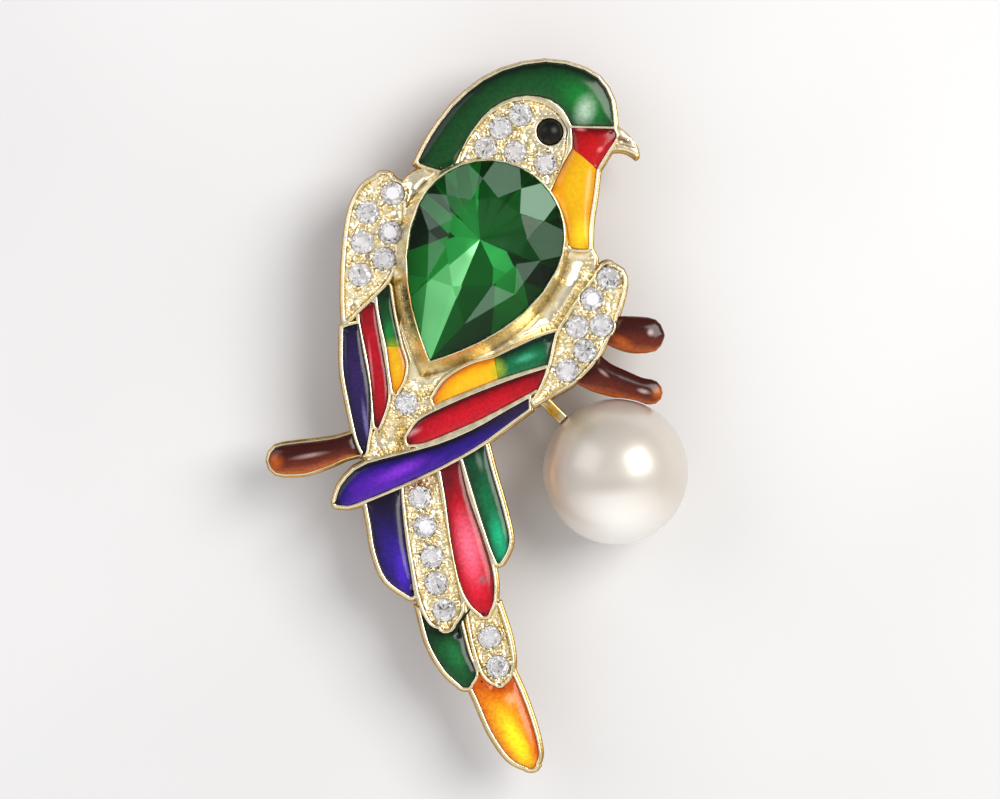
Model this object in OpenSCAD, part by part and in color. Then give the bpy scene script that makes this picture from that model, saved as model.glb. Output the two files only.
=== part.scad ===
// A cast parrot brooch with enamel cells, set stones and one pearl.
// It lies on its back: X runs across the bird, Y up the bird and Z out of its face.
// The origin is on the surface it lies on, under the middle of its outline.

/* [Figure] */
// Height from the crown of the head to the tip of the tail
figure_h = 62.6; // [54:0.2:72]
// Part of the head's height that its stones take up, however high the figure is
head_keep = 7.87; // [7.4:0.01:8.6]
// Width from the end of the left twig to the far side of the pearl
figure_w = 36.9; // [33:0.1:42]

/* [Relief, measured up from the back of the casting] */
// Height of the step round the foot of the casting
ledge_h = 0.7; // [0.5:0.05:0.7]
// How far that step stands out past the rims
ledge_w = 0.2; // [0.1:0.05:0.5]
// Height of the breast and of the metal behind the wings
body_rise = 2.2; // [1.9:0.05:2.3]
// Height of the beak
beak_rise = 1.9; // [1.4:0.05:2.4]
// Height of the twigs
twig_rise = 1.9; // [1.5:0.05:2.2]
// Height of the tail's last feather
tip_rise = 1.6; // [1.5:0.05:1.7]
// Height of the two middle pieces of the tail
lower_tail_rise = 1.8; // [1.75:0.05:2]
// Height of the long tail feathers
tail_rise = 2.1; // [2:0.05:2.2]
// Height of the head
head_rise = 2.6; // [2.3:0.05:3]
// Height of the left wing's feathers
left_wing_rise = 2.45; // [2.3:0.05:2.7]
// Height of the left shoulder
left_shoulder_rise = 2.8; // [2.6:0.05:3.1]
// Height of the right wing's feathers
right_wing_rise = 2.95; // [2.8:0.05:3.2]
// Height of the right shoulder
right_shoulder_rise = 3.3; // [3.1:0.05:3.6]

/* [Rims, cells and enamel] */
// Width of the metal rim round a cell
rim_w = 0.35; // [0.25:0.05:0.5]
// Width of the thinner rim round a twig
twig_rim = 0.2; // [0.15:0.05:0.4]
// Depth of an enamel cell below its rim
cell_d = 0.75; // [0.5:0.05:0.85]
// How far the enamel's edge lies below the rim
enamel_sink = 0.1; // [0.05:0.01:0.2]
// How high the enamel swells, as a share of half its width
enamel_swell = 0.3; // [0.1:0.05:0.5]
// Depth of a stone field below its rim
field_d = 0.25; // [0.15:0.05:0.4]

/* [Pear stone] */
// Length of the pear stone
pear_len = 18.3; // [15:0.1:20]
// Width of the pear stone
pear_w = 13; // [11:0.1:14]
// Lean of its point towards the left wing, in degrees
pear_lean = 25; // [20:1:30]
// Height of the crown above the girdle
pear_crown = 1.9; // [1.2:0.1:2.4]
// Depth of the pavilion below the girdle
pear_pavilion = 3.8; // [3:0.1:3.9]
// Height of the girdle's middle above the back of the casting
pear_girdle_z = 4.4; // [4.3:0.05:5]
// Width of the metal lip round the stone
lip_w = 0.25; // [0.2:0.05:0.4]
// How far the lip rises past the girdle's middle
lip_h = 0.35; // [0.25:0.05:0.5]
// Width of the collar that slopes down from the lip
collar_w = 0.7; // [0.5:0.05:1]
// Height of the collar's foot above the back of the casting
collar_foot = 2.5; // [2.3:0.05:3]

/* [Small stones and eye] */
// Diameter of a small round stone
stone_d = 2; // [1.7:0.05:2.1]
// Least metal between two small stones
stone_apart = 0.1; // [0.08:0.02:0.3]
// Height of their girdles above the field
stone_lift = 0.15; // [0.1:0.05:0.3]
// Metal round a small stone that stands near an edge
pad_w = 0.3; // [0.2:0.05:0.5]
// Diameter of a bead that holds a small stone
bead_d = 0.4; // [0.3:0.05:0.5]
// Height of a bead above the field
bead_h = 0.5; // [0.35:0.05:0.6]
// Diameter of the eye
eye_d = 2.15; // [1.8:0.05:2.4]
// How far the eye stands out of its field
eye_rise = 0.6; // [0.3:0.05:0.9]
// How deep the eye is let in
eye_in = 0.7; // [0.4:0.05:1]

/* [Pearl and its arm] */
// Diameter of the pearl
pearl_d = 12.7; // [11:0.1:14]
// Width of the arm that carries the pearl
arm_w = 0.95; // [0.9:0.05:1.5]
// Thickness of the arm
arm_t = 1.8; // [1.4:0.05:2]
// Diameter of the peg inside the pearl
peg_d = 0.9; // [0.7:0.05:1]
// Length of the peg inside the pearl
peg_in = 3.5; // [2:0.1:5]

/* [Pin back] */
// Length from the hinge foot's middle to the catch foot's middle
pin_span = 20; // [18:0.5:21]
// Diameter of the pin's wire
wire_d = 0.8; // [0.7:0.05:1]
// Height of the wire's middle above the surface it lies on
wire_z = 0.75; // [0.6:0.05:1]
// Length of wire past the catch, without its point
wire_end = 2.6; // [1.5:0.1:4]
// Length of the wire's point
wire_point = 1.4; // [1:0.1:2]
// Length of a foot's plate, across the pin
plate_w = 5.8; // [5.6:0.1:6.4]
// Length of a foot's plate, along the pin
plate_l = 3; // [2.6:0.1:4]
// Thickness of a foot's plate
plate_t = 0.6; // [0.5:0.05:0.8]
// Width of a foot
foot_w = 2.2; // [1.8:0.1:2.6]
// Length of a foot along the pin
foot_l = 2.2; // [1.6:0.1:2.5]
// Diameter of a rivet
rivet_d = 0.9; // [0.7:0.05:1.1]
// Diameter of a rivet's head
head_d = 1.5; // [1.3:0.05:1.8]
// Thickness of a rivet's head
head_t = 0.3; // [0.25:0.05:0.5]

/* [Fits] */
// Gap between a stone or an enamel fill and the metal round it
seat_gap = 0.04; // [0.02:0.01:0.06]
// Gap between the pearl and the metal that meets it
pearl_gap = 0.1; // [0.05:0.05:0.2]
// Gap between the pin's feet and the casting
foot_gap = 0.05; // [0.02:0.01:0.1]

/* [Hidden] */
// The layout is a squared sheet, 42.4 squares wide and 72 high, with its zero in the middle.
SQUARES_WIDE = 42.4;
SQUARES_HIGH = 72;
square_x = figure_w / SQUARES_WIDE;

gold = "#d9c27a";

// Stations along a cell's edge, and along its enamel
steps = 16;
swell_steps = 12;
// Places across the enamel, as shares of its half width
SWELL_ACROSS = [-1, -0.5, 0, 0.5, 1];

pearl_r = pearl_d / 2;
back_z = pearl_r - arm_t / 2;
pitch = stone_d + stone_apart;
pear_r = pear_w / 2;
pear_tail = pear_len - pear_r;
// Larger than any height of the casting, for cuts that run out of its face
through = 10;
// The finest slit between two shapes that the mould could hold
slit = 0.03;

// Groups of cells, plates and fields, from the lowest to those that cover the rest, with the
// height of each and the width of its rims
G_NAME = 0;
G_RISE = 1;
G_RIM = 2;
GROUPS = [
    ["body", body_rise, rim_w],
    ["twigs", twig_rise, twig_rim],
    ["beak", beak_rise, rim_w],
    ["tip", tip_rise, rim_w],
    ["lower_tail", lower_tail_rise, rim_w],
    ["tail", tail_rise, rim_w],
    ["head", head_rise, rim_w],
    ["left_wing", left_wing_rise, rim_w],
    ["left_shoulder", left_shoulder_rise, rim_w],
    ["right_wing", right_wing_rise, rim_w],
    ["right_shoulder", right_shoulder_rise, rim_w],
];

// Enamel cells. Each has two edges that run from its root to its tip, in squares, and the
// bulge of its root and of its tip, as shares of half the width there.
C_NAME = 0;
C_GROUP = 1;
C_COLOUR = 2;
C_EDGES = 3;
CELLS = [
    ["head_cap", "head", "#0d5a2a",
        [[-5.8, 25.5], [-4.3, 28.3], [-1.5, 31.8], [2.3, 34.4], [7.1, 35.4], [11.3, 34.3],
            [13.2, 32], [13.6, 29.1]],
        [[-2.7, 24.6], [-1.9, 26], [-0.7, 28.4], [1.3, 30.8], [3.9, 32.1], [6.7, 32],
            [8.5, 30.9], [9.5, 29.2]], [0.1, 0]],
    ["lore", "head", "#c4121c",
        [[9.5, 28.8], [9.6, 27.9], [9.6, 26.8]],
        [[13.6, 28.7], [13.8, 27.9], [13, 26.6], [11.9, 24.8]], [0, 0]],
    ["throat", "head", "#f2ad0c",
        [[9.6, 26.8], [8, 23.9], [7.4, 21.7], [8, 19.2], [9.4, 17]],
        [[11.9, 24.8], [11.6, 22.2], [11.2, 19.5], [11.1, 16.9]], [0, 0.2]],
    ["left_wing_purple", "left_wing", "#2b1c50",
        [[-13.3, 8.8], [-13.3, 4.7], [-12.7, 1.2], [-11.9, -2.3], [-11.3, -3.6]],
        [[-11.9, 9.2], [-11.4, 6.2], [-10.8, 3], [-10.7, -0.3], [-11.1, -3.1]], [0.1, 1]],
    ["left_wing_red", "left_wing", "#c8102e",
        [[-11.7, 11.2], [-11.6, 9.2], [-10.8, 5.2], [-10.4, 1.7], [-10.2, -0.7]],
        [[-10.3, 11.3], [-9.8, 8.2], [-9.1, 4.2], [-9, 1.5], [-9.8, -0.9]], [0.2, 1]],
    ["left_wing_green", "left_wing", "#0d4a24",
        [[-10, 12.9], [-9.7, 10.2], [-9, 7]],
        [[-8.8, 12.9], [-8.4, 10.2], [-7.7, 7]], [0.7, 0]],
    ["left_wing_yellow", "left_wing", "#f0b010",
        [[-9, 7], [-8.7, 4.7], [-8.4, 2.7]],
        [[-7.7, 7], [-7.2, 5.3], [-7.4, 3.7], [-8, 2.6]], [0, 0.8]],
    ["right_wing_green", "right_wing", "#0e5c34",
        [[8.3, 8.5], [6.6, 8], [4.3, 7], [1.8, 5.8]],
        [[8.3, 5.7], [6.3, 5.1], [4.3, 4.5], [2.1, 3.8]], [0, 0]],
    ["right_wing_yellow", "right_wing", "#f0a80e",
        [[1.8, 5.8], [-0.7, 5.1], [-3, 3.7], [-4.3, 1.9]],
        [[2.1, 3.8], [-0.2, 2.9], [-2.2, 2.1], [-4.1, 1.3]], [0, 0.6]],
    ["right_wing_red", "right_wing", "#c8102e",
        [[7.9, 5], [4.3, 3.9], [0.3, 2.4], [-3.2, 0.9], [-5.7, -0.4], [-6.8, -1.9]],
        [[7, 3.4], [4.3, 1.9], [0.3, -0.2], [-2.7, -1.5], [-5.2, -2.5], [-6.7, -2.7]], [0, 0.6]],
    ["right_wing_purple", "right_wing", "#3a1ba0",
        [[5.1, 1.7], [3.1, 0.6], [-0.2, -1.3], [-3.7, -2.8], [-7.7, -3.9], [-11.5, -5],
            [-13.4, -6.8], [-14, -8.4]],
        [[5.1, 0.8], [3.3, -0.5], [0.3, -2.7], [-3.2, -4.7], [-7.2, -6.6], [-10.5, -8],
            [-12.7, -8.8], [-13.9, -8.7]], [0, 1]],
    ["tail_purple", "tail", "#33208a",
        [[-11.1, -8.1], [-10.6, -10.8], [-10.1, -13.7], [-9, -16.3], [-6.8, -17.9]],
        [[-7.7, -7.3], [-7.5, -9.8], [-7.1, -13.3], [-6.6, -16.3], [-6.4, -17.9]], [0, 0.5]],
    ["tail_red", "tail", "#e0203c",
        [[-3.7, -4.9], [-3.1, -8.3], [-2.5, -12.8], [-1.7, -16.6], [-0.7, -18.7], [0.4, -19.7]],
        [[-1.8, -4.3], [-0.9, -8.1], [0.4, -11.8], [1.5, -15.6], [1.6, -18.3], [1.1, -19.7]], [0, 0.7]],
    ["tail_green", "tail", "#12804e",
        [[-1.6, -3.5], [-0.7, -6.5], [0.4, -10.1], [1.4, -13.1], [2, -14.5]],
        [[0.6, -2.3], [1.4, -5.5], [2.4, -8.9], [3.1, -11.9], [3, -13.3], [2.4, -14.4]], [0, 0.8]],
    ["lower_tail_green", "lower_tail", "#064d22",
        [[-5.6, -19.5], [-4.7, -22.8], [-3.2, -25.4], [-1.7, -26.8]],
        [[-2, -19.5], [-1, -23.5], [-0.2, -25.7], [-0.7, -26.8]], [0, 0.6]],
    ["tail_tip_orange", "tip", "#f28a12",
        [[-1.1, -25.9], [0.1, -28.4], [1.5, -31.6], [3.3, -34.2], [5, -35.1]],
        [[3.3, -25.5], [4.5, -28.2], [5.6, -31.4], [6.1, -33.8], [5.8, -34.9]], [0, 0.7]],
    ["left_twig", "twigs", "#6b2208",
        [[-12.2, -1.7], [-14.2, -2.3], [-16.2, -2.6], [-18.1, -2.8], [-19.5, -3]],
        [[-11.6, -3.7], [-13.2, -4.1], [-14.8, -4.8], [-17.2, -5.6], [-19.4, -5.7]], [0, 1]],
    ["right_twig_upper", "twigs", "#6b2208",
        [[12.3, 9.4], [13.9, 9.5], [15.5, 9.5], [17, 9.4]],
        [[12.3, 8.3], [13.9, 7.4], [15.5, 6.9], [17, 6.9]], [0, 1]],
    ["right_twig_lower", "twigs", "#6b2208",
        [[11.7, 6], [13, 4.9], [14.7, 4.1], [16.3, 3.4], [17.3, 3.2]],
        [[10, 3.9], [11.8, 3], [13.8, 2.45], [15.7, 1.95], [17.3, 1.75]], [0, 1]],
];

// Sunk fields that hold small stones, with the same two edges and bulges
F_NAME = 0;
F_GROUP = 1;
F_EDGES = 2;
FIELDS = [
    ["face", "head",
        [[-1.9, 25.2], [-1.4, 26.7], [-0.3, 28.5], [1.5, 30.3], [3.8, 31.5], [6.3, 31.4],
            [8, 30.3], [8.8, 29]],
        [[-1, 22], [1, 22], [3, 22], [5, 22], [7.2, 22.9], [8.1, 24.5], [8.8, 26.4], [8.9, 28]], [0, 0.3]],
    ["left_shoulder", "left_shoulder",
        [[-9.8, 23.9], [-11.3, 22.9], [-12.5, 20.4], [-13.1, 15.7], [-13.2, 11.7], [-13.1, 9.7]],
        [[-8.8, 23.8], [-7.8, 22.8], [-7.4, 20.2], [-7.9, 16.7], [-8.9, 13.9], [-10.5, 12.1],
            [-12.3, 10.4]], [0.7, 0.3]],
    ["right_shoulder", "right_shoulder",
        [[12.5, 14.6], [11.3, 13], [9.4, 10.3], [8.1, 8], [7.5, 5.3], [6.6, 2.9], [5.8, 1.5]],
        [[13.3, 15], [14.4, 14.3], [14.5, 12.7], [13.6, 9.7], [11.9, 6.1], [9.8, 3.8],
            [7.7, 2.5], [6, 1.5]], [0.7, 0.8]],
    ["tail_band", "tail",
        [[-7.3, -6.9], [-7, -10.3], [-6.4, -14.3], [-5.6, -18.3], [-4.6, -20.5], [-3.6, -21]],
        [[-4.1, -5.5], [-3.4, -9.3], [-2.7, -13.3], [-1.9, -17.3], [-1.6, -19.3], [-2.4, -20.7]], [0, 0.8]],
    ["lower_band", "lower_tail",
        [[-1.1, -18.3], [-0.4, -22.3], [0.5, -25.3], [1.3, -26.4], [2, -26.7]],
        [[2, -19], [3, -22.1], [3.4, -24.6], [3.1, -26.1], [2.5, -26.7]], [0, 0.7]],
];

// Plain plates of metal, with the same two edges and bulges
PLATES = [
    ["breast", "body",
        [[-6.4, 24.5], [-7.8, 22.7], [-8, 16.7], [-7.7, 9.7], [-9.1, 2.5], [-10.6, -2.3],
            [-11.1, -4.6]],
        [[-3.7, 25.7], [6.3, 26.7], [9.8, 18.2], [12, 15.9], [9.8, 9.7], [0.3, 2.7],
            [-6.7, -3.3]], [0, 0]],
    ["beak", "beak",
        [[13.2, 29.6], [14.5, 28.7], [15.4, 27.8], [16, 26.9], [16.1, 26.2]],
        [[13.2, 26.6], [14.1, 26.7], [14.9, 26.6], [15.5, 26.3], [15.9, 26]], [0, 0.8]],
];

// Small stones that sit in fields: an anchor in squares, the depth that the field is sunk by
// and each stone's place from the anchor, in pitches of the stones
S_NAME = 0;
S_GROUP = 1;
S_SINK = 2;
S_ANCHOR = 3;
S_STEPS = 4;
STONE_SETS = [
    ["left_shoulder_stone", "left_shoulder", field_d, [-10.1, 18.2],
        [[0.69, 1.7], [-0.35, 0.91], [0.58, 0.08], [-0.55, -0.33], [0.33, -1.01], [-0.66, -1.68]]],
    ["right_shoulder_stone", "right_shoulder", field_d, [11.3, 9.2],
        [[0.75, 1.9], [0.08, 1.04], [-0.54, -0.12], [0.46, -0.04], [-0.23, -1.1], [-0.95, -1.9]]],
    ["centre_stone", "body", 0, [-7.05, 1.3], [[0, 0]]],
    ["tail_band_stone", "tail", field_d, [-4.5, -14.05],
        [[-0.52, 2.46], [-0.29, 1.26], [0, 0], [0.17, -1.1], [0.5, -2.22]]],
    ["lower_tail_stone", "lower_tail", field_d, [1.65, -23.6], [[-0.17, 0.6], [0.17, -0.62]]],
];

// Face stones stand in rows that follow the pear stone's round head: each has its way along
// the round from the pear stone's axis and its way out from the first row, in pitches
FACE_STONES = [[-1.72, 0], [-0.46, 0], [0.88, 0.17], [-1.48, 0.86], [-0.94, 1.55]];
EYE_PLACE = [0.47, 1.37];

// Directions in which a bead may stand beside a small stone
BEAD_TURNS = [20, 80, 140, 200, 260, 320];

// The big stone's middle, the pearl's middle, the arm's root and the pin's middle, in squares
PEAR_PLACE = [1.1, 17.9];
PEARL_PLACE = [13.9, -5.55];
ARM_PLACE = [5.9, 2.4];
PIN_PLACE = [-2.2, 11.8];
// How far the collar's foot is moved across and up, as shares of its width
COLLAR_SHIFT = [-0.6, -0.9];

// Cut of a brilliant: table, crown break and pavilion break as shares of the girdle
TABLE_SHARE = 0.56;
CROWN_BREAK = 0.78;
PAVILION_BREAK = 0.5;
GIRDLE_SHARE = 0.03;
SMALL_CROWN = 0.16;
SMALL_PAVILION = 0.42;
MAINS = 8;

// Squares become millimetres. Above the pear stone's middle half of the height is kept for
// the stones, and the other half and all below it follow the height of the figure.
head_squares = SQUARES_HIGH / 2 - PEAR_PLACE[1];
head_h = head_keep + figure_h * head_squares / SQUARES_HIGH / 2;
head_square = head_h / head_squares;
tail_square = (figure_h - head_h) / (SQUARES_HIGH - head_squares);
function at(p) = [p[0] * square_x, p[1] > PEAR_PLACE[1]
    ? figure_h / 2 - (SQUARES_HIGH / 2 - p[1]) * head_square
    : (p[1] + SQUARES_HIGH / 2) * tail_square - figure_h / 2];
function unit(v) = v / norm(v);
function place_of(name, table) = search([name], table)[0];
function rank(group) = place_of(group, GROUPS);
function top_of(group) = back_z + GROUPS[rank(group)][G_RISE];

// A smooth curve through all points of a list, at a share t of its way
function through_points(p, t) =
    let (
        last = len(p) - 1,
        i = min(floor(t * last), last - 1),
        f = t * last - i,
        a = p[max(i - 1, 0)],
        b = p[i],
        c = p[i + 1],
        d = p[min(i + 2, last)]
    )
    at(b + f * (c - a) / 2 + f * f * (2 * a - 5 * b + 4 * c - d) / 2
        + f * f * f * (3 * b - a - 3 * c + d) / 2);

// The round end of an outline, from one edge's last point to the other's. It bulges by a
// share of its half width.
function round_end(from, to, inner, bulge) =
    let (middle = (from + to) / 2, half = (from - to) / 2, way = unit(middle - inner))
    [for (turn = [30 : 30 : bulge > 0 ? 150 : 0])
        middle + half * cos(turn) + way * bulge * norm(half) * sin(turn)];

function outline(row, first) =
    let (
        a = [for (k = [0 : steps]) through_points(row[first], k / steps)],
        b = [for (k = [0 : steps]) through_points(row[first + 1], k / steps)],
        ends = row[first + 2]
    )
    concat(
        a,
        round_end(a[steps], b[steps], (a[steps - 1] + b[steps - 1]) / 2, ends[1]),
        [for (k = [steps : -1 : 0]) b[k]],
        round_end(b[0], a[0], (a[1] + b[1]) / 2, ends[0])
    );

// Small stones: name, group, height of the girdle and place, in one list
function around_pear(step) =
    let (
        out = pear_r + lip_w + seat_gap + stone_d / 2 + step[1] * pitch,
        turn = 90 - pear_lean - step[0] * pitch / out * 180 / PI
    )
    at(PEAR_PLACE) + out * [cos(turn), sin(turn)];
STONES = concat(
    [for (i = [0 : len(FACE_STONES) - 1])
        [str("face_stone_", i + 1), "head", top_of("head") - field_d,
            around_pear(FACE_STONES[i])]],
    [for (set = STONE_SETS) for (i = [0 : len(set[S_STEPS]) - 1])
        [len(set[S_STEPS]) > 1 ? str(set[S_NAME], "_", i + 1) : set[S_NAME], set[S_GROUP],
            top_of(set[S_GROUP]) - set[S_SINK], at(set[S_ANCHOR]) + pitch * set[S_STEPS][i]]]
);
ST_NAME = 0;
ST_GROUP = 1;
ST_FLOOR = 2;
ST_PLACE = 3;

// The pear stone's girdle: half a circle at the head, then sides that close in to the point
function pear_outline(count, grow = 0) = [
    for (k = [0 : count - 1])
        let (turn = 360 * k / count)
        turn <= 180
            ? (pear_r + grow) * [cos(turn), sin(turn)]
            : [sign(turn - 270) * (pear_r + grow) * pow(cos(turn), 2), (pear_tail + grow) * sin(turn)]
];

function round_outline(count, r) = [
    for (k = [0 : count - 1]) r * [cos(360 * k / count), sin(360 * k / count)]
];

// A brilliant with its girdle's middle at zero. The mains meet the girdle at every eighth
// of its points, and the breaks of crown and pavilion lie half way between them.
module brilliant(girdle, crown, pavilion, girdle_t) {
    count = len(girdle);
    seg = count / MAINS;
    top = girdle_t / 2;
    slope = (CROWN_BREAK * cos(180 / MAINS) - TABLE_SHARE) / (1 - TABLE_SHARE);
    break_z = top + crown * (1 - slope);
    under_z = -top - pavilion * (1 - PAVILION_BREAK * cos(180 / MAINS));
    points = concat(
        [for (k = [0 : MAINS - 1]) [each TABLE_SHARE * girdle[k * seg], top + crown]],
        [for (k = [0 : MAINS - 1]) [each CROWN_BREAK * girdle[(k + 0.5) * seg], break_z]],
        [for (p = girdle) [each p, top]],
        [for (p = girdle) [each p, -top]],
        [for (k = [0 : MAINS - 1]) [each PAVILION_BREAK * girdle[(k + 0.5) * seg], under_z]],
        [[0, 0, -top - pavilion]]
    );
    upper = 2 * MAINS;
    lower = upper + count;
    break_low = lower + count;
    culet = break_low + MAINS;
    faces = concat(
        [[for (k = [MAINS - 1 : -1 : 0]) k]],
        [for (k = [0 : MAINS - 1]) [k, (k + 1) % MAINS, MAINS + k]],
        [for (k = [0 : MAINS - 1])
            [k, MAINS + k, upper + k * seg, MAINS + (k + MAINS - 1) % MAINS]],
        [for (k = [0 : MAINS - 1]) for (j = [0 : seg - 1])
            [MAINS + k, upper + (k * seg + j + 1) % count, upper + k * seg + j]],
        [for (j = [0 : count - 1])
            [upper + j, upper + (j + 1) % count, lower + (j + 1) % count, lower + j]],
        [for (k = [0 : MAINS - 1]) for (j = [0 : seg - 1])
            [break_low + k, lower + k * seg + j, lower + (k * seg + j + 1) % count]],
        [for (k = [0 : MAINS - 1])
            [culet, break_low + (k + MAINS - 1) % MAINS, lower + k * seg, break_low + k]]
    );
    polyhedron(points, faces);
}

module closed_slits() {
    offset(delta = -slit) offset(delta = slit) children();
}

// The openings of a group's cells, as one where two colours touch
module cell_openings(group) {
    closed_slits() for (c = CELLS) if (c[C_GROUP] == group) polygon(outline(c, C_EDGES));
}

// All the metal of a group, seen from the front, and grown past that by a ledge if there is one
module region(group, more = 0) {
    offset(delta = GROUPS[rank(group)][G_RIM] + more) {
        for (c = CELLS) if (c[C_GROUP] == group) polygon(outline(c, C_EDGES));
        for (f = FIELDS) if (f[F_GROUP] == group) polygon(outline(f, F_EDGES));
    }
    for (p = PLATES) if (p[F_GROUP] == group) offset(delta = more) polygon(outline(p, F_EDGES));
    for (s = STONES) if (s[ST_GROUP] == group)
        translate(s[ST_PLACE]) circle(r = stone_d / 2 + pad_w + more, $fn = 24);
}

module collar_shape(more = 0) {
    translate(at(PEAR_PLACE) + collar_w * COLLAR_SHIFT) rotate(-pear_lean)
        polygon(pear_outline(48, lip_w + collar_w + more));
}

// Everything that lies over a group
module over(group) {
    for (g = GROUPS) if (rank(g[G_NAME]) > rank(group)) region(g[G_NAME]);
    collar_shape();
}

module pearl_space() {
    translate(at(PEARL_PLACE)) circle(r = pearl_r + pearl_gap, $fn = 96);
}

// One group's metal with its cells and fields sunk into it. It runs in under the rims of what
// lies over it, so that the two become one.
module tray(group) {
    rise = GROUPS[rank(group)][G_RISE];
    difference() {
        linear_extrude(rise) closed_slits() difference() {
            region(group);
            offset(delta = -0.6 * rim_w) over(group);
            pearl_space();
        }
        if (len([for (c = CELLS) if (c[C_GROUP] == group) c]) > 0)
            translate([0, 0, rise - cell_d]) linear_extrude(through) cell_openings(group);
        for (f = FIELDS) if (f[F_GROUP] == group)
            translate([0, 0, rise - field_d]) linear_extrude(through)
                polygon(outline(f, F_EDGES));
    }
}

module ledge() {
    linear_extrude(ledge_h) closed_slits() difference() {
        union() {
            for (g = GROUPS) region(g[G_NAME], ledge_w);
            collar_shape(ledge_w);
        }
        pearl_space();
    }
}

module pear_frame() {
    translate([each at(PEAR_PLACE), back_z + pear_girdle_z]) rotate(-pear_lean) children();
}

module collar() {
    hull() {
        translate([0, 0, back_z]) linear_extrude(collar_foot) collar_shape();
        pear_frame() linear_extrude(lip_h) polygon(pear_outline(48, lip_w));
    }
}

module pear_cut(grow) {
    girdle_t = GIRDLE_SHARE * pear_w;
    brilliant(pear_outline(32, grow), pear_crown, pear_pavilion + grow, girdle_t);
}

module pear_seat() {
    pear_frame() {
        pear_cut(seat_gap);
        linear_extrude(through) offset(delta = seat_gap) polygon(pear_outline(32));
    }
}

module stone_frame(s) {
    translate([each s[ST_PLACE], s[ST_FLOOR] + stone_lift]) children();
}

module small_seat(s) {
    r = stone_d / 2 + seat_gap;
    deep = SMALL_PAVILION * stone_d + seat_gap;
    girdle_t = GIRDLE_SHARE * stone_d;
    stone_frame(s) {
        translate([0, 0, -girdle_t / 2 - seat_gap]) cylinder(r = r, h = through, $fn = 48);
        translate([0, 0, -girdle_t / 2 - seat_gap - deep])
            cylinder(r1 = 0.1 * r, r2 = r, h = deep, $fn = 48);
    }
}

// Beads stand round a stone wherever they are clear of every other stone
module beads(s) {
    for (turn = BEAD_TURNS) {
        place = s[ST_PLACE] + (stone_d / 2 + bead_d / 4) * [cos(turn), sin(turn)];
        near = min([for (o = STONES) if (o[ST_NAME] != s[ST_NAME]) norm(place - o[ST_PLACE])]);
        if (near > stone_d / 2 + bead_d / 2 + seat_gap)
            translate([each place, s[ST_FLOOR] - bead_h])
                cylinder(d = bead_d, h = 2 * bead_h, $fn = 24);
    }
}

module eye_frame() {
    translate([each around_pear(EYE_PLACE), top_of("head") - field_d]) children();
}

// The arm and its peg, along X from the arm's root towards the pearl's middle
module arm() {
    way = at(PEARL_PLACE) - at(ARM_PLACE);
    reach = norm(way);
    translate([each at(ARM_PLACE), back_z]) rotate(atan2(way[1], way[0])) {
        difference() {
            translate([0, -arm_w / 2, 0]) cube([reach - pearl_r + arm_w, arm_w, arm_t]);
            translate([reach, 0, arm_t / 2]) sphere(r = pearl_r + pearl_gap, $fn = 96);
        }
        translate([reach - pearl_r - arm_w, 0, arm_t / 2]) rotate([0, 90, 0])
            cylinder(d = peg_d, h = peg_in + arm_w, $fn = 32);
    }
}

// The frames of the two feet of the pin, each at the back of the casting
module foot_frames() {
    for (end = [-1, 1])
        translate([each at(PIN_PLACE) + [0, end * pin_span / 2], back_z]) children();
}

module rivet_places() {
    foot_frames() for (side = [-1, 1])
        translate([side * (plate_w / 2 + foot_w / 2) / 2, 0, 0]) children();
}

module rivets() {
    neck = foot_gap + plate_t + foot_gap;
    rivet_places() {
        translate([0, 0, -neck - head_t / 2]) cylinder(d = rivet_d, h = neck + head_t, $fn = 32);
        translate([0, 0, -neck - head_t]) cylinder(d = head_d, h = head_t, $fn = 32);
    }
}

module casting() {
    color(gold) difference() {
        union() {
            translate([0, 0, back_z]) {
                ledge();
                for (g = GROUPS) tray(g[G_NAME]);
            }
            collar();
            for (s = STONES) beads(s);
            arm();
            rivets();
        }
        pear_seat();
        for (s = STONES) small_seat(s);
        eye_frame() translate([0, 0, -eye_in - seat_gap])
            cylinder(d = eye_d + 2 * seat_gap, h = through, $fn = 48);
    }
}

module pin_back() {
    drop = back_z - foot_gap - plate_t;
    middle = at(PIN_PLACE);
    wire_l = pin_span + wire_end + foot_l / 2;
    color(gold) difference() {
        union() {
            foot_frames() translate([-plate_w / 2, -plate_l / 2, -foot_gap - plate_t])
                cube([plate_w, plate_l, plate_t]);
            foot_frames() translate([-foot_w / 2, -foot_l / 2, -back_z])
                cube([foot_w, foot_l, drop + plate_t / 2]);
            translate([middle[0], middle[1] + pin_span / 2, wire_z]) rotate([90, 0, 0]) {
                cylinder(d = wire_d, h = wire_l, $fn = 32);
                translate([0, 0, wire_l])
                    cylinder(d1 = wire_d, d2 = 0.15 * wire_d, h = wire_point, $fn = 32);
            }
        }
        rivet_places() translate([0, 0, -foot_gap - plate_t - slit])
            cylinder(d = rivet_d + 2 * foot_gap, h = plate_t + 2 * slit, $fn = 32);
    }
}

module pear_stone() {
    color("#1d8a3c") pear_frame() pear_cut(0);
}

module eye_stone() {
    ball = (pow(eye_d / 2, 2) + pow(eye_rise, 2)) / (2 * eye_rise);
    color("#101010") eye_frame() {
        translate([0, 0, -eye_in]) cylinder(d = eye_d, h = eye_in, $fn = 48);
        intersection() {
            cylinder(d = eye_d, h = eye_rise + slit, $fn = 48);
            translate([0, 0, eye_rise - ball]) sphere(r = ball, $fn = 48);
        }
    }
}

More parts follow.
